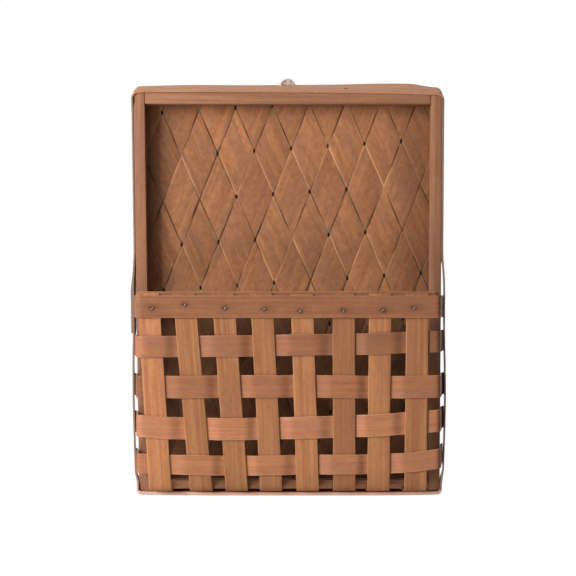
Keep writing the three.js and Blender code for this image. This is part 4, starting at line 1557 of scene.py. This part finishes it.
@dataclass
class Pocket:
    """The open-weave pocket: stakes, weavers, two rim bands and their clinched nails."""

    layout: Layout
    sweep: SplintSweep
    scatter: ScatteredPieces
    stake_width: float = 18.6
    weaver_width: float = 18.2
    foot_bend: float = 5.0
    foot_settle: float = 1.4
    rim_corners: Plan = (3.0, 2.5)
    right_corner: float = 3.5
    bend_points: int = 8
    right_bend_points: int = 10
    stake_spacing: float = 1.6
    band_spacing: float = 1.3
    band_passes: int = 2
    crossing_points: int = 9
    drift_passes: int = 12
    spring_back: float = 4.0
    lie_back: float = 8.0
    hug_room: float = 1.6
    tuck_lead: float = 1.0
    tuck_short: float = 2.0
    rim_step: float = 3.4
    clinch: float = 3.8
    tip_facets: int = 10
    clinch_turn: float = 1.22
    clinch_swing: float = 0.05
    tail_shade: float = 0.7
    tail_fade: float = 2.0
    flank_share: float = 0.7
    flank_lead: float = 2.0
    flank_fade: float = 6.0
    end_reach: float = 13.0
    end_fade: float = 8.0
    foot_darkening: float = 0.14
    darkening_height: float = 26.0
    rim_fade: float = 0.1
    # The stain round a rim nail is a faint broad halo and a darker bruise, a little aside, on the front only.
    halo: float = 0.3
    halo_mm: Plan = (5.5, 3.4)
    bruise: float = 0.55
    bruise_mm: Plan = (2.3, 1.7)
    bruise_shift: Plan = (1.2, 0.8)
    stain_depth: float = 6.0
    stake_heads: tuple[float, ...] = (-0.902, -0.664, -0.411, -0.163, 0.098, 0.368, 0.606, 0.85)
    stake_feet: tuple[float, ...] = (-0.831, -0.565, -0.331, -0.106, 0.133, 0.372, 0.595, 0.837)
    stake_rises: tuple[float, ...] = (0.3, -0.2, 0.1, 0.4, -0.4, 0.2, -0.1, 0.0)
    weaver_levels: tuple[float, ...] = (0.167, 0.404, 0.644, 0.857)
    weaver_cuts: tuple[float, ...] = (17.9, 18.9, 18.6, 16.6)
    weaver_bends: tuple[float, ...] = (5.0, 2.0, 5.0, 2.0)
    # How far each weaver drifts from its level at the left corner, each stake and the right corner.
    weaver_drifts: tuple[tuple[float, ...], ...] = (
        (0.0, -0.1, 0.1, 0.5, 0.7, 1.5, 1.8, 2.5, 3.9, 4.1),
        (0.4, 0.1, 0.4, 0.7, 0.9, 0.8, 0.6, 0.0, 0.4, 1.0),
        (2.6, 1.0, -0.2, -0.3, 0.1, 0.9, 1.7, 2.9, 5.0, 6.6),
        (1.6, 0.8, 0.3, -0.6, 0.1, 0.5, 0.8, 0.8, 2.9, 5.8),
    )
    nail_shifts: tuple[float, ...] = (0.2, 0.06, 0.09, 0.15, -0.05, 0.03, 0.18, -0.11)
    nail_depths: tuple[float, ...] = (0.53, 0.38, 0.53, 0.58, 0.66, 0.63, 0.62, 0.52)
    stake_tones: tuple[float, ...] = (0.2, -0.09, -0.1, -0.1, 0.05, -0.12, 0.03, -0.04)
    weaver_tones: tuple[float, ...] = (-0.08, -0.02, 0.28, 0.16)
    # Tone of each weaver's left end: a painted highlight on the bends of the first and third, darker on the
    # second and fourth.
    weaver_ends: tuple[float, ...] = (0.14, -0.24, 0.08, -0.06)
    weaver_fades: tuple[float, ...] = (-0.11, 0.08, 0.0, 0.0)

    def __post_init__(self) -> None:
        """Works out the pocket's lines."""
        lay = self.layout
        self.foot = lay.bottom + lay.foot_lift - self.foot_settle
        self.weave_step = lay.splint + lay.clearance
        self.band_step = lay.splint / 2 + lay.clearance + lay.rim_thickness / 2
        self.tuck_end = lay.stick_back - self.tuck_short

    @property
    def lowest(self) -> float:
        """The lower edge of the lowest weaver."""
        return self.layout.rim_foot - self.weaver_levels[-1] * self.layout.drop - self.weaver_width / 2

    def build(self, steel: Material) -> None:
        """Makes and dresses the pocket.

        Args:
            steel: The nails' finish.
        """
        stake_wood, weaver_wood, rim_wood = STAKE_ASH.material(), WEAVER_ASH.material(), RIM_ASH.material()
        for index in range(len(self.stake_heads)):
            self._stake(index, stake_wood)
        for level in range(len(self.weaver_levels)):
            self._weaver(level, weaver_wood)
        self._outer_rim(rim_wood)
        self._inner_rim(rim_wood)
        self._rim_nails(steel)

    def stake_middle(self, index: int, z: float) -> float:
        """A stake's middle line at a height.

        Args:
            index: Which stake.
            z: The height.

        Returns:
            Its place across.
        """
        down = min(max((self.layout.rim_foot - z) / self.layout.drop, -0.2), 1.0)
        head, foot = self.stake_heads[index], self.stake_feet[index]
        return self.layout.pocket_half * (head + (foot - head) * down)

    def _stake(self, index: int, wood: Material) -> None:
        """Makes one stake, turned under at the foot and tucked below the rail.

        Args:
            index: Which stake.
            wood: The finish.
        """
        lay = self.layout
        run_height = lay.bottom - lay.clearance - lay.splint / 2
        turn_top = self.foot + self.foot_bend + lay.splint / 2
        centre = (lay.front_wall + self.foot_bend, turn_top)
        line = evened([
            (lay.front_wall, lay.rim_top + 0.5 * self.rim_step + self.stake_rises[index]),
            (lay.front_wall, turn_top),
            *arc(centre, self.foot_bend, 180, 270, self.bend_points),
            (centre[0] + 0.1 * self.foot_bend, turn_top - self.foot_bend),
            (lay.stick_front - 4 * self.tuck_lead, run_height),
            (lay.stick_back - 0.5 * self.tuck_short, run_height),
        ], self.stake_spacing)
        path = [(self.stake_middle(index, z), y, z) for y, z in line]
        strip = Strip(self.stake_width, lay.splint, self.stake_tones[index], 0.8 + 1.1 * index, cuts=9,
                      waver=0.18, warp=0.08)
        name = f"stake_{index + 1}"
        made = self.sweep.splint(name, path, [(1.0, 0.0, 0.0)] * len(path), strip, wood)
        # Each stake darkens towards its foot.
        low = ease((self.foot + self.darkening_height - coordinates(made.data)[:, 2]) / self.darkening_height)
        set_values(made.data, "tone", strip.tone - self.foot_darkening * low)
        finished(made, [name])

    def _band(self, front: Sequence[Plan], edge: float, tucks: Plan, tuck_front: float, corners: Plan,
              hugs: Plan = (0.0, 0.0)) -> np.ndarray:
        """The plan of a band: tucked end, side, corner, front, corner, side, tucked end.

        Args:
            front: The stretch across the front.
            edge: Half the band's width.
            tucks: Where its two ends lie beside the stiles.
            tuck_front: Where the ends turn in beside the sticks.
            corners: Radius of its left and right bends.
            hugs: How far each end springs out behind the hoop's front edge.

        Returns:
            Evenly spaced points in plan.
        """
        front_edge = self.layout.stick_front
        spring, lie = front_edge + self.spring_back, front_edge + self.lie_back
        splays = [self.layout.side_splay * (1 - y / front_edge) for y in (lie, self.tuck_end)]
        ends = [[tuck + side.value * (hug + splay if hug else 0.0) for splay in splays]
                for tuck, hug, side in zip(tucks, hugs, Side)]
        first, last = self.layout.left_pinch - edge, edge + self.layout.right_out
        left = (first + corners[0], front[0][1] + corners[0])
        right = (last - corners[1], front[-1][1] + corners[1])
        line = [
            (ends[0][1], self.tuck_end),
            (ends[0][0], lie),
            (tucks[0], spring),
            (tucks[0], tuck_front),
            (first, left[1]),
            *arc(left, corners[0], 180, 270, self.bend_points),
            *front,
            *arc(right, corners[1], 270, 360, self.right_bend_points),
            (last, right[1]),
            (tucks[1], tuck_front),
            (tucks[1], spring),
            (ends[1][0], lie),
            (ends[1][1], self.tuck_end),
        ]
        return softened(evened(line, self.band_spacing), self.band_passes)

    def _weaver(self, level: int, wood: Material) -> None:
        """Makes one weaver, over and under the stakes in turn.

        Args:
            level: Which weaver, from the top.
            wood: The finish.
        """
        lay = self.layout
        z = lay.rim_foot - self.weaver_levels[level] * lay.drop
        edge = lay.pocket_half - lay.splint / 2
        flat = self.stake_width / 2 + 3 * lay.clearance
        last = len(self.stake_heads) - 1
        corners = (self.weaver_bends[level], self.right_corner)
        front: list[Plan] = []
        middles = [self.stake_middle(index, z) for index in range(last + 1)]
        for index, middle in enumerate(middles):
            over = (index + level) % 2 == 0
            y = lay.front_wall + (-self.weave_step if over else self.weave_step)
            start = lay.left_pinch - edge + corners[0] if index == 0 else middle - flat
            end = edge - corners[1] if index == last else middle + flat
            if front:
                before = front[-1]
                front += [(before[0] + (start - before[0]) * t, before[1] + (y - before[1]) * ease(t))
                          for t in np.linspace(0, 1, self.crossing_points)[1:-1]]
            front += [(start, y), (end, y)]
        offset = lay.clearance + lay.splint / 2
        high = z + self.weaver_width / 2
        tucks = tuple(lay.stile_outer(side, high) + side.value * offset for side in Side)
        hugs = tuple(lay.tuck_gap(side, z, self.lowest) - lay.splint - self.hug_room * lay.clearance
                     for side in Side)
        plan = self._band(front, edge, tucks, -lay.hoop_depth - self.tuck_lead, corners, hugs)
        turns = [lay.left_pinch - edge, *middles, edge]
        drift = np.interp(plan[:, 0], turns, self.weaver_drifts[level])
        drift = softened(drift[:, None], self.drift_passes)[:, 0]
        path = [(x, y, z + rise) for (x, y), rise in zip(plan, drift)]
        strip = Strip(self.weaver_cuts[level], lay.splint, self.weaver_tones[level], 2.1 + 1.7 * level,
                      cuts=9, waver=0.22, warp=0.05)
        name = f"weaver_{level + 1}"
        made = self.sweep.splint(name, path, [(0.0, 0.0, 1.0)] * len(path), strip, wood)
        points = coordinates(made.data)
        # Painted shade on the weaver's tails and right flank.
        set_values(made.data, "grime", self._shaded(points))
        end = ease((turns[0] + self.end_reach - points[:, 0]) / self.end_fade)
        fade = self.weaver_fades[level] * points[:, 0] / lay.pocket_half
        set_values(made.data, "tone", strip.tone + fade + self.weaver_ends[level] * end)
        finished(made, [name])

    def _shaded(self, points: np.ndarray) -> np.ndarray:
        """Painted shade that darkens a band's tails behind the hoop and its flank away from the light.

        Args:
            points: The band's points.

        Returns:
            A share for each point.
        """
        x, y, _ = points.T
        tails = ease((y - self.layout.stick_front) / self.tail_fade)
        flank = ease((y - self.layout.front_wall - self.flank_lead) / self.flank_fade) * (x > 0)
        return self.tail_shade * np.maximum(tails, self.flank_share * flank)

    def _rim_front(self, y: float, edge: float) -> list[Plan]:
        """The straight front of a rim band."""
        return [(self.layout.left_pinch - edge + self.rim_corners[0], y), (edge - self.rim_corners[1], y)]

    def nail_spots(self) -> list[Point]:
        """Where each rim nail's shank crosses the front.

        Returns:
            A point for each stake.
        """
        lay = self.layout
        spots = []
        for index in range(len(self.stake_heads)):
            z = lay.rim_top - self.nail_depths[index] * (lay.rim_top - lay.rim_foot)
            x = self.stake_middle(index, z) + self.nail_shifts[index] * self.stake_width
            spots.append((x, lay.front_wall, z))
        return spots

    def _outer_rim(self, wood: Material) -> None:
        """Makes the outer band, stained round its nails.

        Args:
            wood: The finish.
        """
        lay = self.layout
        edge = lay.pocket_half - lay.rim_thickness / 2
        offset = lay.clearance + lay.rim_thickness / 2
        tucks = tuple(lay.stile_outer(side, lay.rim_top) + side.value * offset for side in Side)
        front = self._rim_front(lay.front_wall - self.band_step, edge)
        plan = self._band(front, edge, tucks, -lay.hoop_depth - self.tuck_lead, self.rim_corners)
        middle = (lay.rim_top + lay.rim_foot) / 2
        path = [(x, y, middle) for x, y in plan]
        width = lay.rim_top - lay.rim_foot
        strip = Strip(width, lay.rim_thickness, -0.02, 6.1, cuts=16, waver=0.22, warp=0.06)
        made = self.sweep.splint("rim_outer", path, [(0.0, 0.0, 1.0)] * len(path), strip, wood)
        points = coordinates(made.data)
        across, inward, up = points.T
        set_values(made.data, "tone", strip.tone + self.rim_fade * across / lay.pocket_half)
        # Painted shade on the rim's right tail and flank; the stains round the nails are real.
        grime = self._shaded(points) * (across > 0)
        for x, y, z in self.nail_spots():
            stain = np.zeros(len(points))
            for depth, size, shift in (
                (self.halo, self.halo_mm, (0.0, 0.0)),
                (self.bruise, self.bruise_mm, self.bruise_shift),
            ):
                aside, above = (across - x + shift[0]) / size[0], (up - z + shift[1]) / size[1]
                stain += depth * np.exp(-(aside**2) - above**2)
            grime = np.maximum(grime, np.where(np.abs(inward - y) < self.stain_depth, stain, 0.0))
        set_values(made.data, "grime", grime)
        finished(made, ["rim_outer"])

    def _inner_rim(self, wood: Material) -> None:
        """Makes the inner band, a little higher than the outer one.

        Args:
            wood: The finish.
        """
        lay = self.layout
        edge = lay.pocket_half - 1.5 * lay.rim_thickness - lay.clearance
        offset = lay.clearance + lay.rim_thickness / 2
        low = lay.rim_foot + self.rim_step
        tucks = tuple(lay.stile_inner(side, low) - side.value * offset for side in Side)
        front = self._rim_front(lay.front_wall + self.band_step, edge)
        plan = self._band(front, edge, tucks, lay.stick_front - 3 * self.tuck_lead, self.rim_corners)
        width = lay.rim_top - lay.rim_foot
        path = [(x, y, low + width / 2) for x, y in plan]
        strip = Strip(width, lay.rim_thickness, 0.05, 7.3, cuts=12, waver=0.45, warp=0.06)
        made = self.sweep.splint("rim_inner", path, [(0.0, 0.0, 1.0)] * len(path), strip, wood)
        finished(made, ["rim_inner"])

    def _clinched_nail(self) -> Mesh:
        """A nail along Y: flat head behind, point bent over and beaten flat in front.

        Returns:
            The mesh in metres, its shank's middle at the origin.
        """
        lay = self.layout
        reach = self.band_step + lay.rim_thickness / 2 + lay.clearance
        nail = WireNail(2 * reach + 0.9)
        mesh = nail.mesh("clinched_nail")
        build = bmesh.new()
        build.from_mesh(mesh)
        for vert in build.verts:
            vert.co = Vector((vert.co.x, vert.co.z + (reach + nail.head_depth) * MM, -vert.co.y))
        # Along the tip: the share of its length, its half width and its thickness there.
        tip = [(0.0, 0.62, 0.5), (0.3, 0.66, 0.56), (0.65, 0.52, 0.5), (0.9, 0.34, 0.4), (1.0, 0.12, 0.22)]
        length = self.clinch - nail.shank
        rings = []
        for share, wide, thick in tip:
            ring = []
            for step in range(self.tip_facets):
                angle = 2 * math.pi * step / self.tip_facets
                out = -reach - 0.02 - 0.3 * thick * (1 + math.cos(angle))
                spot = (share * length * MM, out * MM, wide * math.sin(angle) * MM)
                ring.append(build.verts.new(spot))
            rings.append(ring)
        for here, after in zip(rings, rings[1:]):
            for step in range(self.tip_facets):
                beside = (step + 1) % self.tip_facets
                build.faces.new((here[step], here[beside], after[beside], after[step]))
        build.faces.new(rings[0][::-1])
        build.faces.new(rings[-1])
        return outward(build, mesh)

    def _rim_nails(self, steel: Material) -> None:
        """Sets the clinched nails along the rim, each bent over its own way.

        Args:
            steel: The finish.
        """
        spots = self.nail_spots()
        turns = [(0.0, -math.pi * (self.clinch_turn + self.clinch_swing * (index % 3)), 0.0)
                 for index in range(len(spots))]
        made = self.scatter.place("rim_nails", self._clinched_nail(), spots, turns, [1.0] * len(spots), steel)
        finished(made, [f"rim_nail_{index + 1}" for index in range(len(spots))])


@dataclass
class HangingTwine:
    """A short loop of twine through two holes in the hoop, knotted under each."""

    scatter: ScatteredPieces
    diameter: float = 2.2
    spread: float = 12.0
    tail: float = 2.8
    twist_mm: float = 7.0
    plies: int = 3
    ply_facets: int = 8
    ply_share: float = 0.52
    spacing: float = 0.35
    knot_points: int = 90
    knot_wire: float = 0.36
    draw_seed: int = 7
    hairs: int = 900
    hair_length: float = 2.6
    hair_radii: Plan = (0.09, 0.03)
    hair_sizes: Plan = (0.4, 1.2)
    hair_turn: float = 1.9
    hair_depth: float = 0.6
    # The tuft keeps off the twine's ends by so many points, and fills this share of the arch.
    tuft_ends: int = 16
    tuft_share: Plan = (0.05, 1.0)
    route: list[Point] = field(init=False)

    def __post_init__(self) -> None:
        """Works out the route from the CAD solid's box."""
        low, high = (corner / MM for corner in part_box("hanging_loop"))
        half = self.spread / 2
        self.depth = (low.y + high.y) / 2
        self.knot_radius = (high.y - low.y) / 2
        self.knot_height = low.z + self.knot_radius
        peak = high.z - self.diameter / 2
        spring = peak - half
        leg = [(-half, self.depth, z) for z in np.linspace(self.knot_height - self.tail, spring, 8)[:-1]]
        angles = np.linspace(math.pi, 0.0, 25)
        over = [(half * math.cos(angle), self.depth, spring + half * math.sin(angle)) for angle in angles]
        self.route = [*leg, *over, *[(-x, y, z) for x, y, z in reversed(leg)]]

    @property
    def length(self) -> float:
        """The twine's length from the tail below one knot to the tail below the other."""
        rows = np.asarray(self.route)
        return float(np.linalg.norm(np.diff(rows, axis=0), axis=1).sum())

    def _ply_tubes(self, line: np.ndarray, radius: float, plies: int, closed: bool
                   ) -> tuple[list[Point], list[tuple]]:
        """Twists plies round a line.

        Args:
            line: Evenly spaced points in millimetres.
            radius: Radius of the whole twine.
            plies: How many plies.
            closed: Whether the line runs back into itself.

        Returns:
            Points and faces.
        """
        ring = self.ply_facets
        ply = self.ply_share * radius if plies > 1 else radius
        orbit = radius - ply
        heading = np.gradient(line, axis=0)
        if closed:
            heading = np.roll(line, -1, 0) - np.roll(line, 1, 0)
        heading /= np.linalg.norm(heading, axis=1)[:, None]
        side = np.cross(heading, (0.0, 1.0, 0.0))
        short = np.linalg.norm(side, axis=1) < 1e-3
        side[short] = (1.0, 0.0, 0.0)
        side /= np.linalg.norm(side, axis=1)[:, None]
        other = np.cross(heading, side)
        run = np.concatenate(([0.0], np.cumsum(np.linalg.norm(np.diff(line, axis=0), axis=1))))
        points: list[Point] = []
        faces: list[tuple] = []
        for which in range(plies):
            base = len(points)
            spin = 2 * math.pi * (run / self.twist_mm + which / plies)
            middle = line + orbit * (np.cos(spin)[:, None] * side + np.sin(spin)[:, None] * other)
            for step in range(ring):
                angle = 2 * math.pi * step / ring
                rim = middle + ply * (math.cos(angle) * side + math.sin(angle) * other)
                points += [tuple(row) for row in rim]
            count = len(line)
            for step in range(ring):
                beside = (step + 1) % ring
                for at in range(count if closed else count - 1):
                    after = (at + 1) % count
                    faces.append((base + step * count + at, base + beside * count + at,
                                  base + beside * count + after, base + step * count + after))
            if not closed:
                faces.append(tuple(base + step * count for step in range(ring)))
                faces.append(tuple(base + step * count + count - 1 for step in reversed(range(ring))))
        return points, faces

    def _mesh(self, name: str, points: Sequence[Point], faces: Sequence[tuple], jute: Material) -> Object:
        """Makes an object of points and faces, its faces turned outwards.

        Args:
            name: The piece's name.
            points: Its points in millimetres.
            faces: Its faces by number of point.
            jute: The finish.

        Returns:
            The object.
        """
        mesh = bpy.data.meshes.new(name)
        mesh.from_pydata((np.asarray(points) * MM).tolist(), [], list(faces))
        build = bmesh.new()
        build.from_mesh(mesh)
        outward(build, mesh)
        mesh.materials.append(jute)
        mesh.shade_smooth()
        return linked(name, mesh)

    def build(self) -> None:
        jute = TwineFinish().material()
        line = evened(self.route, self.spacing)
        points, faces = self._ply_tubes(line, self.diameter / 2, self.plies, False)
        twine = finished(self._mesh("hanging_loop_twine", points, faces, jute), ["hanging_loop"])
        knots = self._knots(jute)
        hairs = self._fibres(line, jute)

    def _knots(self, jute: Material) -> Object:
        """Ties a small overhand knot under each hole.

        Args:
            jute: The finish.

        Returns:
            Both knots as one piece.
        """
        turns = np.linspace(0, 2 * math.pi, self.knot_points, endpoint=False)
        wire = self.knot_wire * self.knot_radius
        reach = (self.knot_radius - wire) / 3
        loop = np.stack([
            (2 + np.cos(3 * turns)) * np.cos(2 * turns) * reach,
            np.sin(3 * turns) * reach * 1.7,
            (2 + np.cos(3 * turns)) * np.sin(2 * turns) * reach,
        ], axis=1)
        points: list[Point] = []
        faces: list[tuple] = []
        for side in Side:
            base = len(points)
            centre = np.array([side.value * self.spread / 2, self.depth, self.knot_height])
            more, more_faces = self._ply_tubes(loop + centre, wire, 1, True)
            points += more
            faces += [tuple(base + at for at in face) for face in more_faces]
        return finished(self._mesh("hanging_loop_knots", points, faces, jute), [])

    def _fibres(self, line: np.ndarray, jute: Material) -> Object:
        """Fills the small arch with a tuft of short loose fibres.

        Args:
            line: The twine's middle line.
            jute: The finish.

        Returns:
            The fibres as one piece.
        """
        draw = np.random.default_rng(self.draw_seed)
        build = bmesh.new()
        length = self.hair_length * MM
        root, tip = (radius * MM for radius in self.hair_radii)
        bmesh.ops.create_cone(build, segments=4, radius1=root, radius2=tip, depth=length, cap_ends=True)
        bmesh.ops.translate(build, verts=build.verts, vec=(0, 0, length / 2))
        fibre = bpy.data.meshes.new("jute_fibre")
        build.to_mesh(fibre)
        build.free()
        base = np.array([0.0, self.depth, self.knot_height])
        picked = draw.integers(self.tuft_ends, len(line) - self.tuft_ends, self.hairs)
        shrink = np.sqrt(draw.uniform(*self.tuft_share, self.hairs))
        turns = [tuple(draw.uniform(-self.hair_turn, self.hair_turn, 3)) for _ in range(self.hairs)]
        sizes = draw.uniform(*self.hair_sizes, self.hairs)
        deep = self.hair_depth
        spots = [tuple(base + (line[at] - base) * share + (0.0, draw.uniform(-deep, deep), 0.0))
                 for at, share in zip(picked, shrink)]
        made = self.scatter.place("hanging_loop_fibres", fibre, spots, turns, sizes, jute)
        return finished(made, [])


@dataclass(frozen=True)
class Lamp:
    """A soft lamp: where it stands, its width and height, and its watts."""

    name: str
    place: Point
    sides: Plan
    watts: float

    def hang(self, aim: Point) -> None:
        """Adds the lamp to the scene.

        Args:
            aim: The point that it faces.
        """
        data = bpy.data.lights.new(self.name, "AREA")
        data.shape = "RECTANGLE"
        data.size, data.size_y = (side * MM for side in self.sides)
        data.energy = self.watts
        made = linked(self.name, data)
        made.location = Vector(self.place) * MM
        facing = Vector(aim) * MM - made.location
        made.rotation_euler = facing.to_track_quat("-Z", "Y").to_euler()


@dataclass
class Studio:
    """Camera, lights, floor and plain white surroundings."""

    eye: Point = (0.5, -1770.0, -179.67)
    lens_mm: float = 126.5
    sensor_mm: float = 36.0
    floor_height: float = -1500.0
    floor_half: float = 1900.0
    floor_glow: float = 0.92
    soft_light: float = 0.05
    aim: Point = (0.0, -30.0, -179.0)
    lamps: tuple[Lamp, ...] = (
        Lamp("key_lamp", (-1010.0, -900.0, 230.0), (550.0, 670.0), 19.5),
        Lamp("top_lamp", (-500.0, -1200.0, 1500.0), (1200.0, 1000.0), 7.0),
        Lamp("low_lamp", (-600.0, -800.0, -1000.0), (900.0, 700.0), 6.0),
        Lamp("rear_lamp", (350.0, 1500.0, -300.0), (1200.0, 900.0), 11.0),
    )

    def camera(self) -> None:
        """Sets the camera square to the basket's front."""
        data = bpy.data.cameras.new("front_camera")
        data.lens = self.lens_mm
        data.sensor_width = self.sensor_mm
        data.clip_end = 50.0
        made = linked("front_camera", data)
        made.location = Vector(self.eye) * MM
        made.rotation_euler = (math.pi / 2, 0.0, 0.0)
        bpy.context.scene.camera = made

    def surroundings(self) -> None:
        """Sets the lamps, the pale floor and a world that looks white and lights softly."""
        bpy.context.scene.view_settings.view_transform = "Standard"
        for lamp in self.lamps:
            lamp.hang(self.aim)
        self._world()
        self._floor()

    def _world(self) -> None:
        """White to the camera and in reflections, a soft grey light elsewhere."""
        world = bpy.data.worlds.new("studio_white")
        bpy.context.scene.world = world
        world.use_nodes = True
        tree = world.node_tree
        tree.nodes.clear()
        node = partial(add_node, tree)
        rays = node(RAYS)
        shiny = node(MATH, LARGER,
                     {0: rays.outputs["Is Camera Ray"], 1: rays.outputs["Is Transmission Ray"]})
        seen = node(MATH, LARGER, {0: shiny, 1: rays.outputs["Is Glossy Ray"]})
        soft, white = (
            node("ShaderNodeBackground", None, {"Color": linear(WHITE), "Strength": strength})
            for strength in (self.soft_light, 1.0)
        )
        both = node("ShaderNodeMixShader", None, {0: seen, 1: soft, 2: white})
        node("ShaderNodeOutputWorld", None, {0: both})

    def _floor(self) -> None:
        """Lays a pale floor well below the basket, out of the camera's view."""
        half, height = self.floor_half * MM, self.floor_height * MM
        mesh = bpy.data.meshes.new("studio_floor")
        corners = [(x * half, y * half, height) for x, y in ((-1, -1), (1, -1), (1, 1), (-1, 1))]
        mesh.from_pydata(corners, [], [(0, 1, 2, 3)])
        paint, tree = blank_material("matt_white_paint")
        node = partial(add_node, tree)
        rays = node(RAYS)
        shown = node(MATH, TIMES, {0: rays.outputs["Is Camera Ray"], 1: self.floor_glow})
        shader = node(SURFACE, None,
                      {"Base Color": linear("#e6e4e0"), "Roughness": 0.9,
                       "Emission Color": linear(WHITE), "Emission Strength": shown})
        node(SHOWN, None, {"Surface": shader})
        mesh.materials.append(paint)
        linked("studio_floor", mesh)


def main() -> None:
    """Builds the basket in order: camera, twine, frame, mat, pocket, lights."""
    logging.basicConfig(level=logging.INFO, format="%(name)s %(message)s")
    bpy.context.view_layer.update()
    layout = Layout.from_frame()
    studio = Studio()
    studio.camera()
    sweep, scatter = SplintSweep(), ScatteredPieces()
    HangingTwine(scatter).build()
    steel = SteelFinish().material()
    pocket = Pocket(layout, sweep, scatter)
    rusted = SteelFinish("rusted_nail_steel", bright="#6f5442", rust="#4d3628", rough=0.85).material()
    BackFrame(layout, sweep, scatter, pocket.lowest).build(rusted)
    WovenMat(layout, sweep).build()
    pocket.build(steel)
    studio.surroundings()


if __name__ == "__main__":
    main()
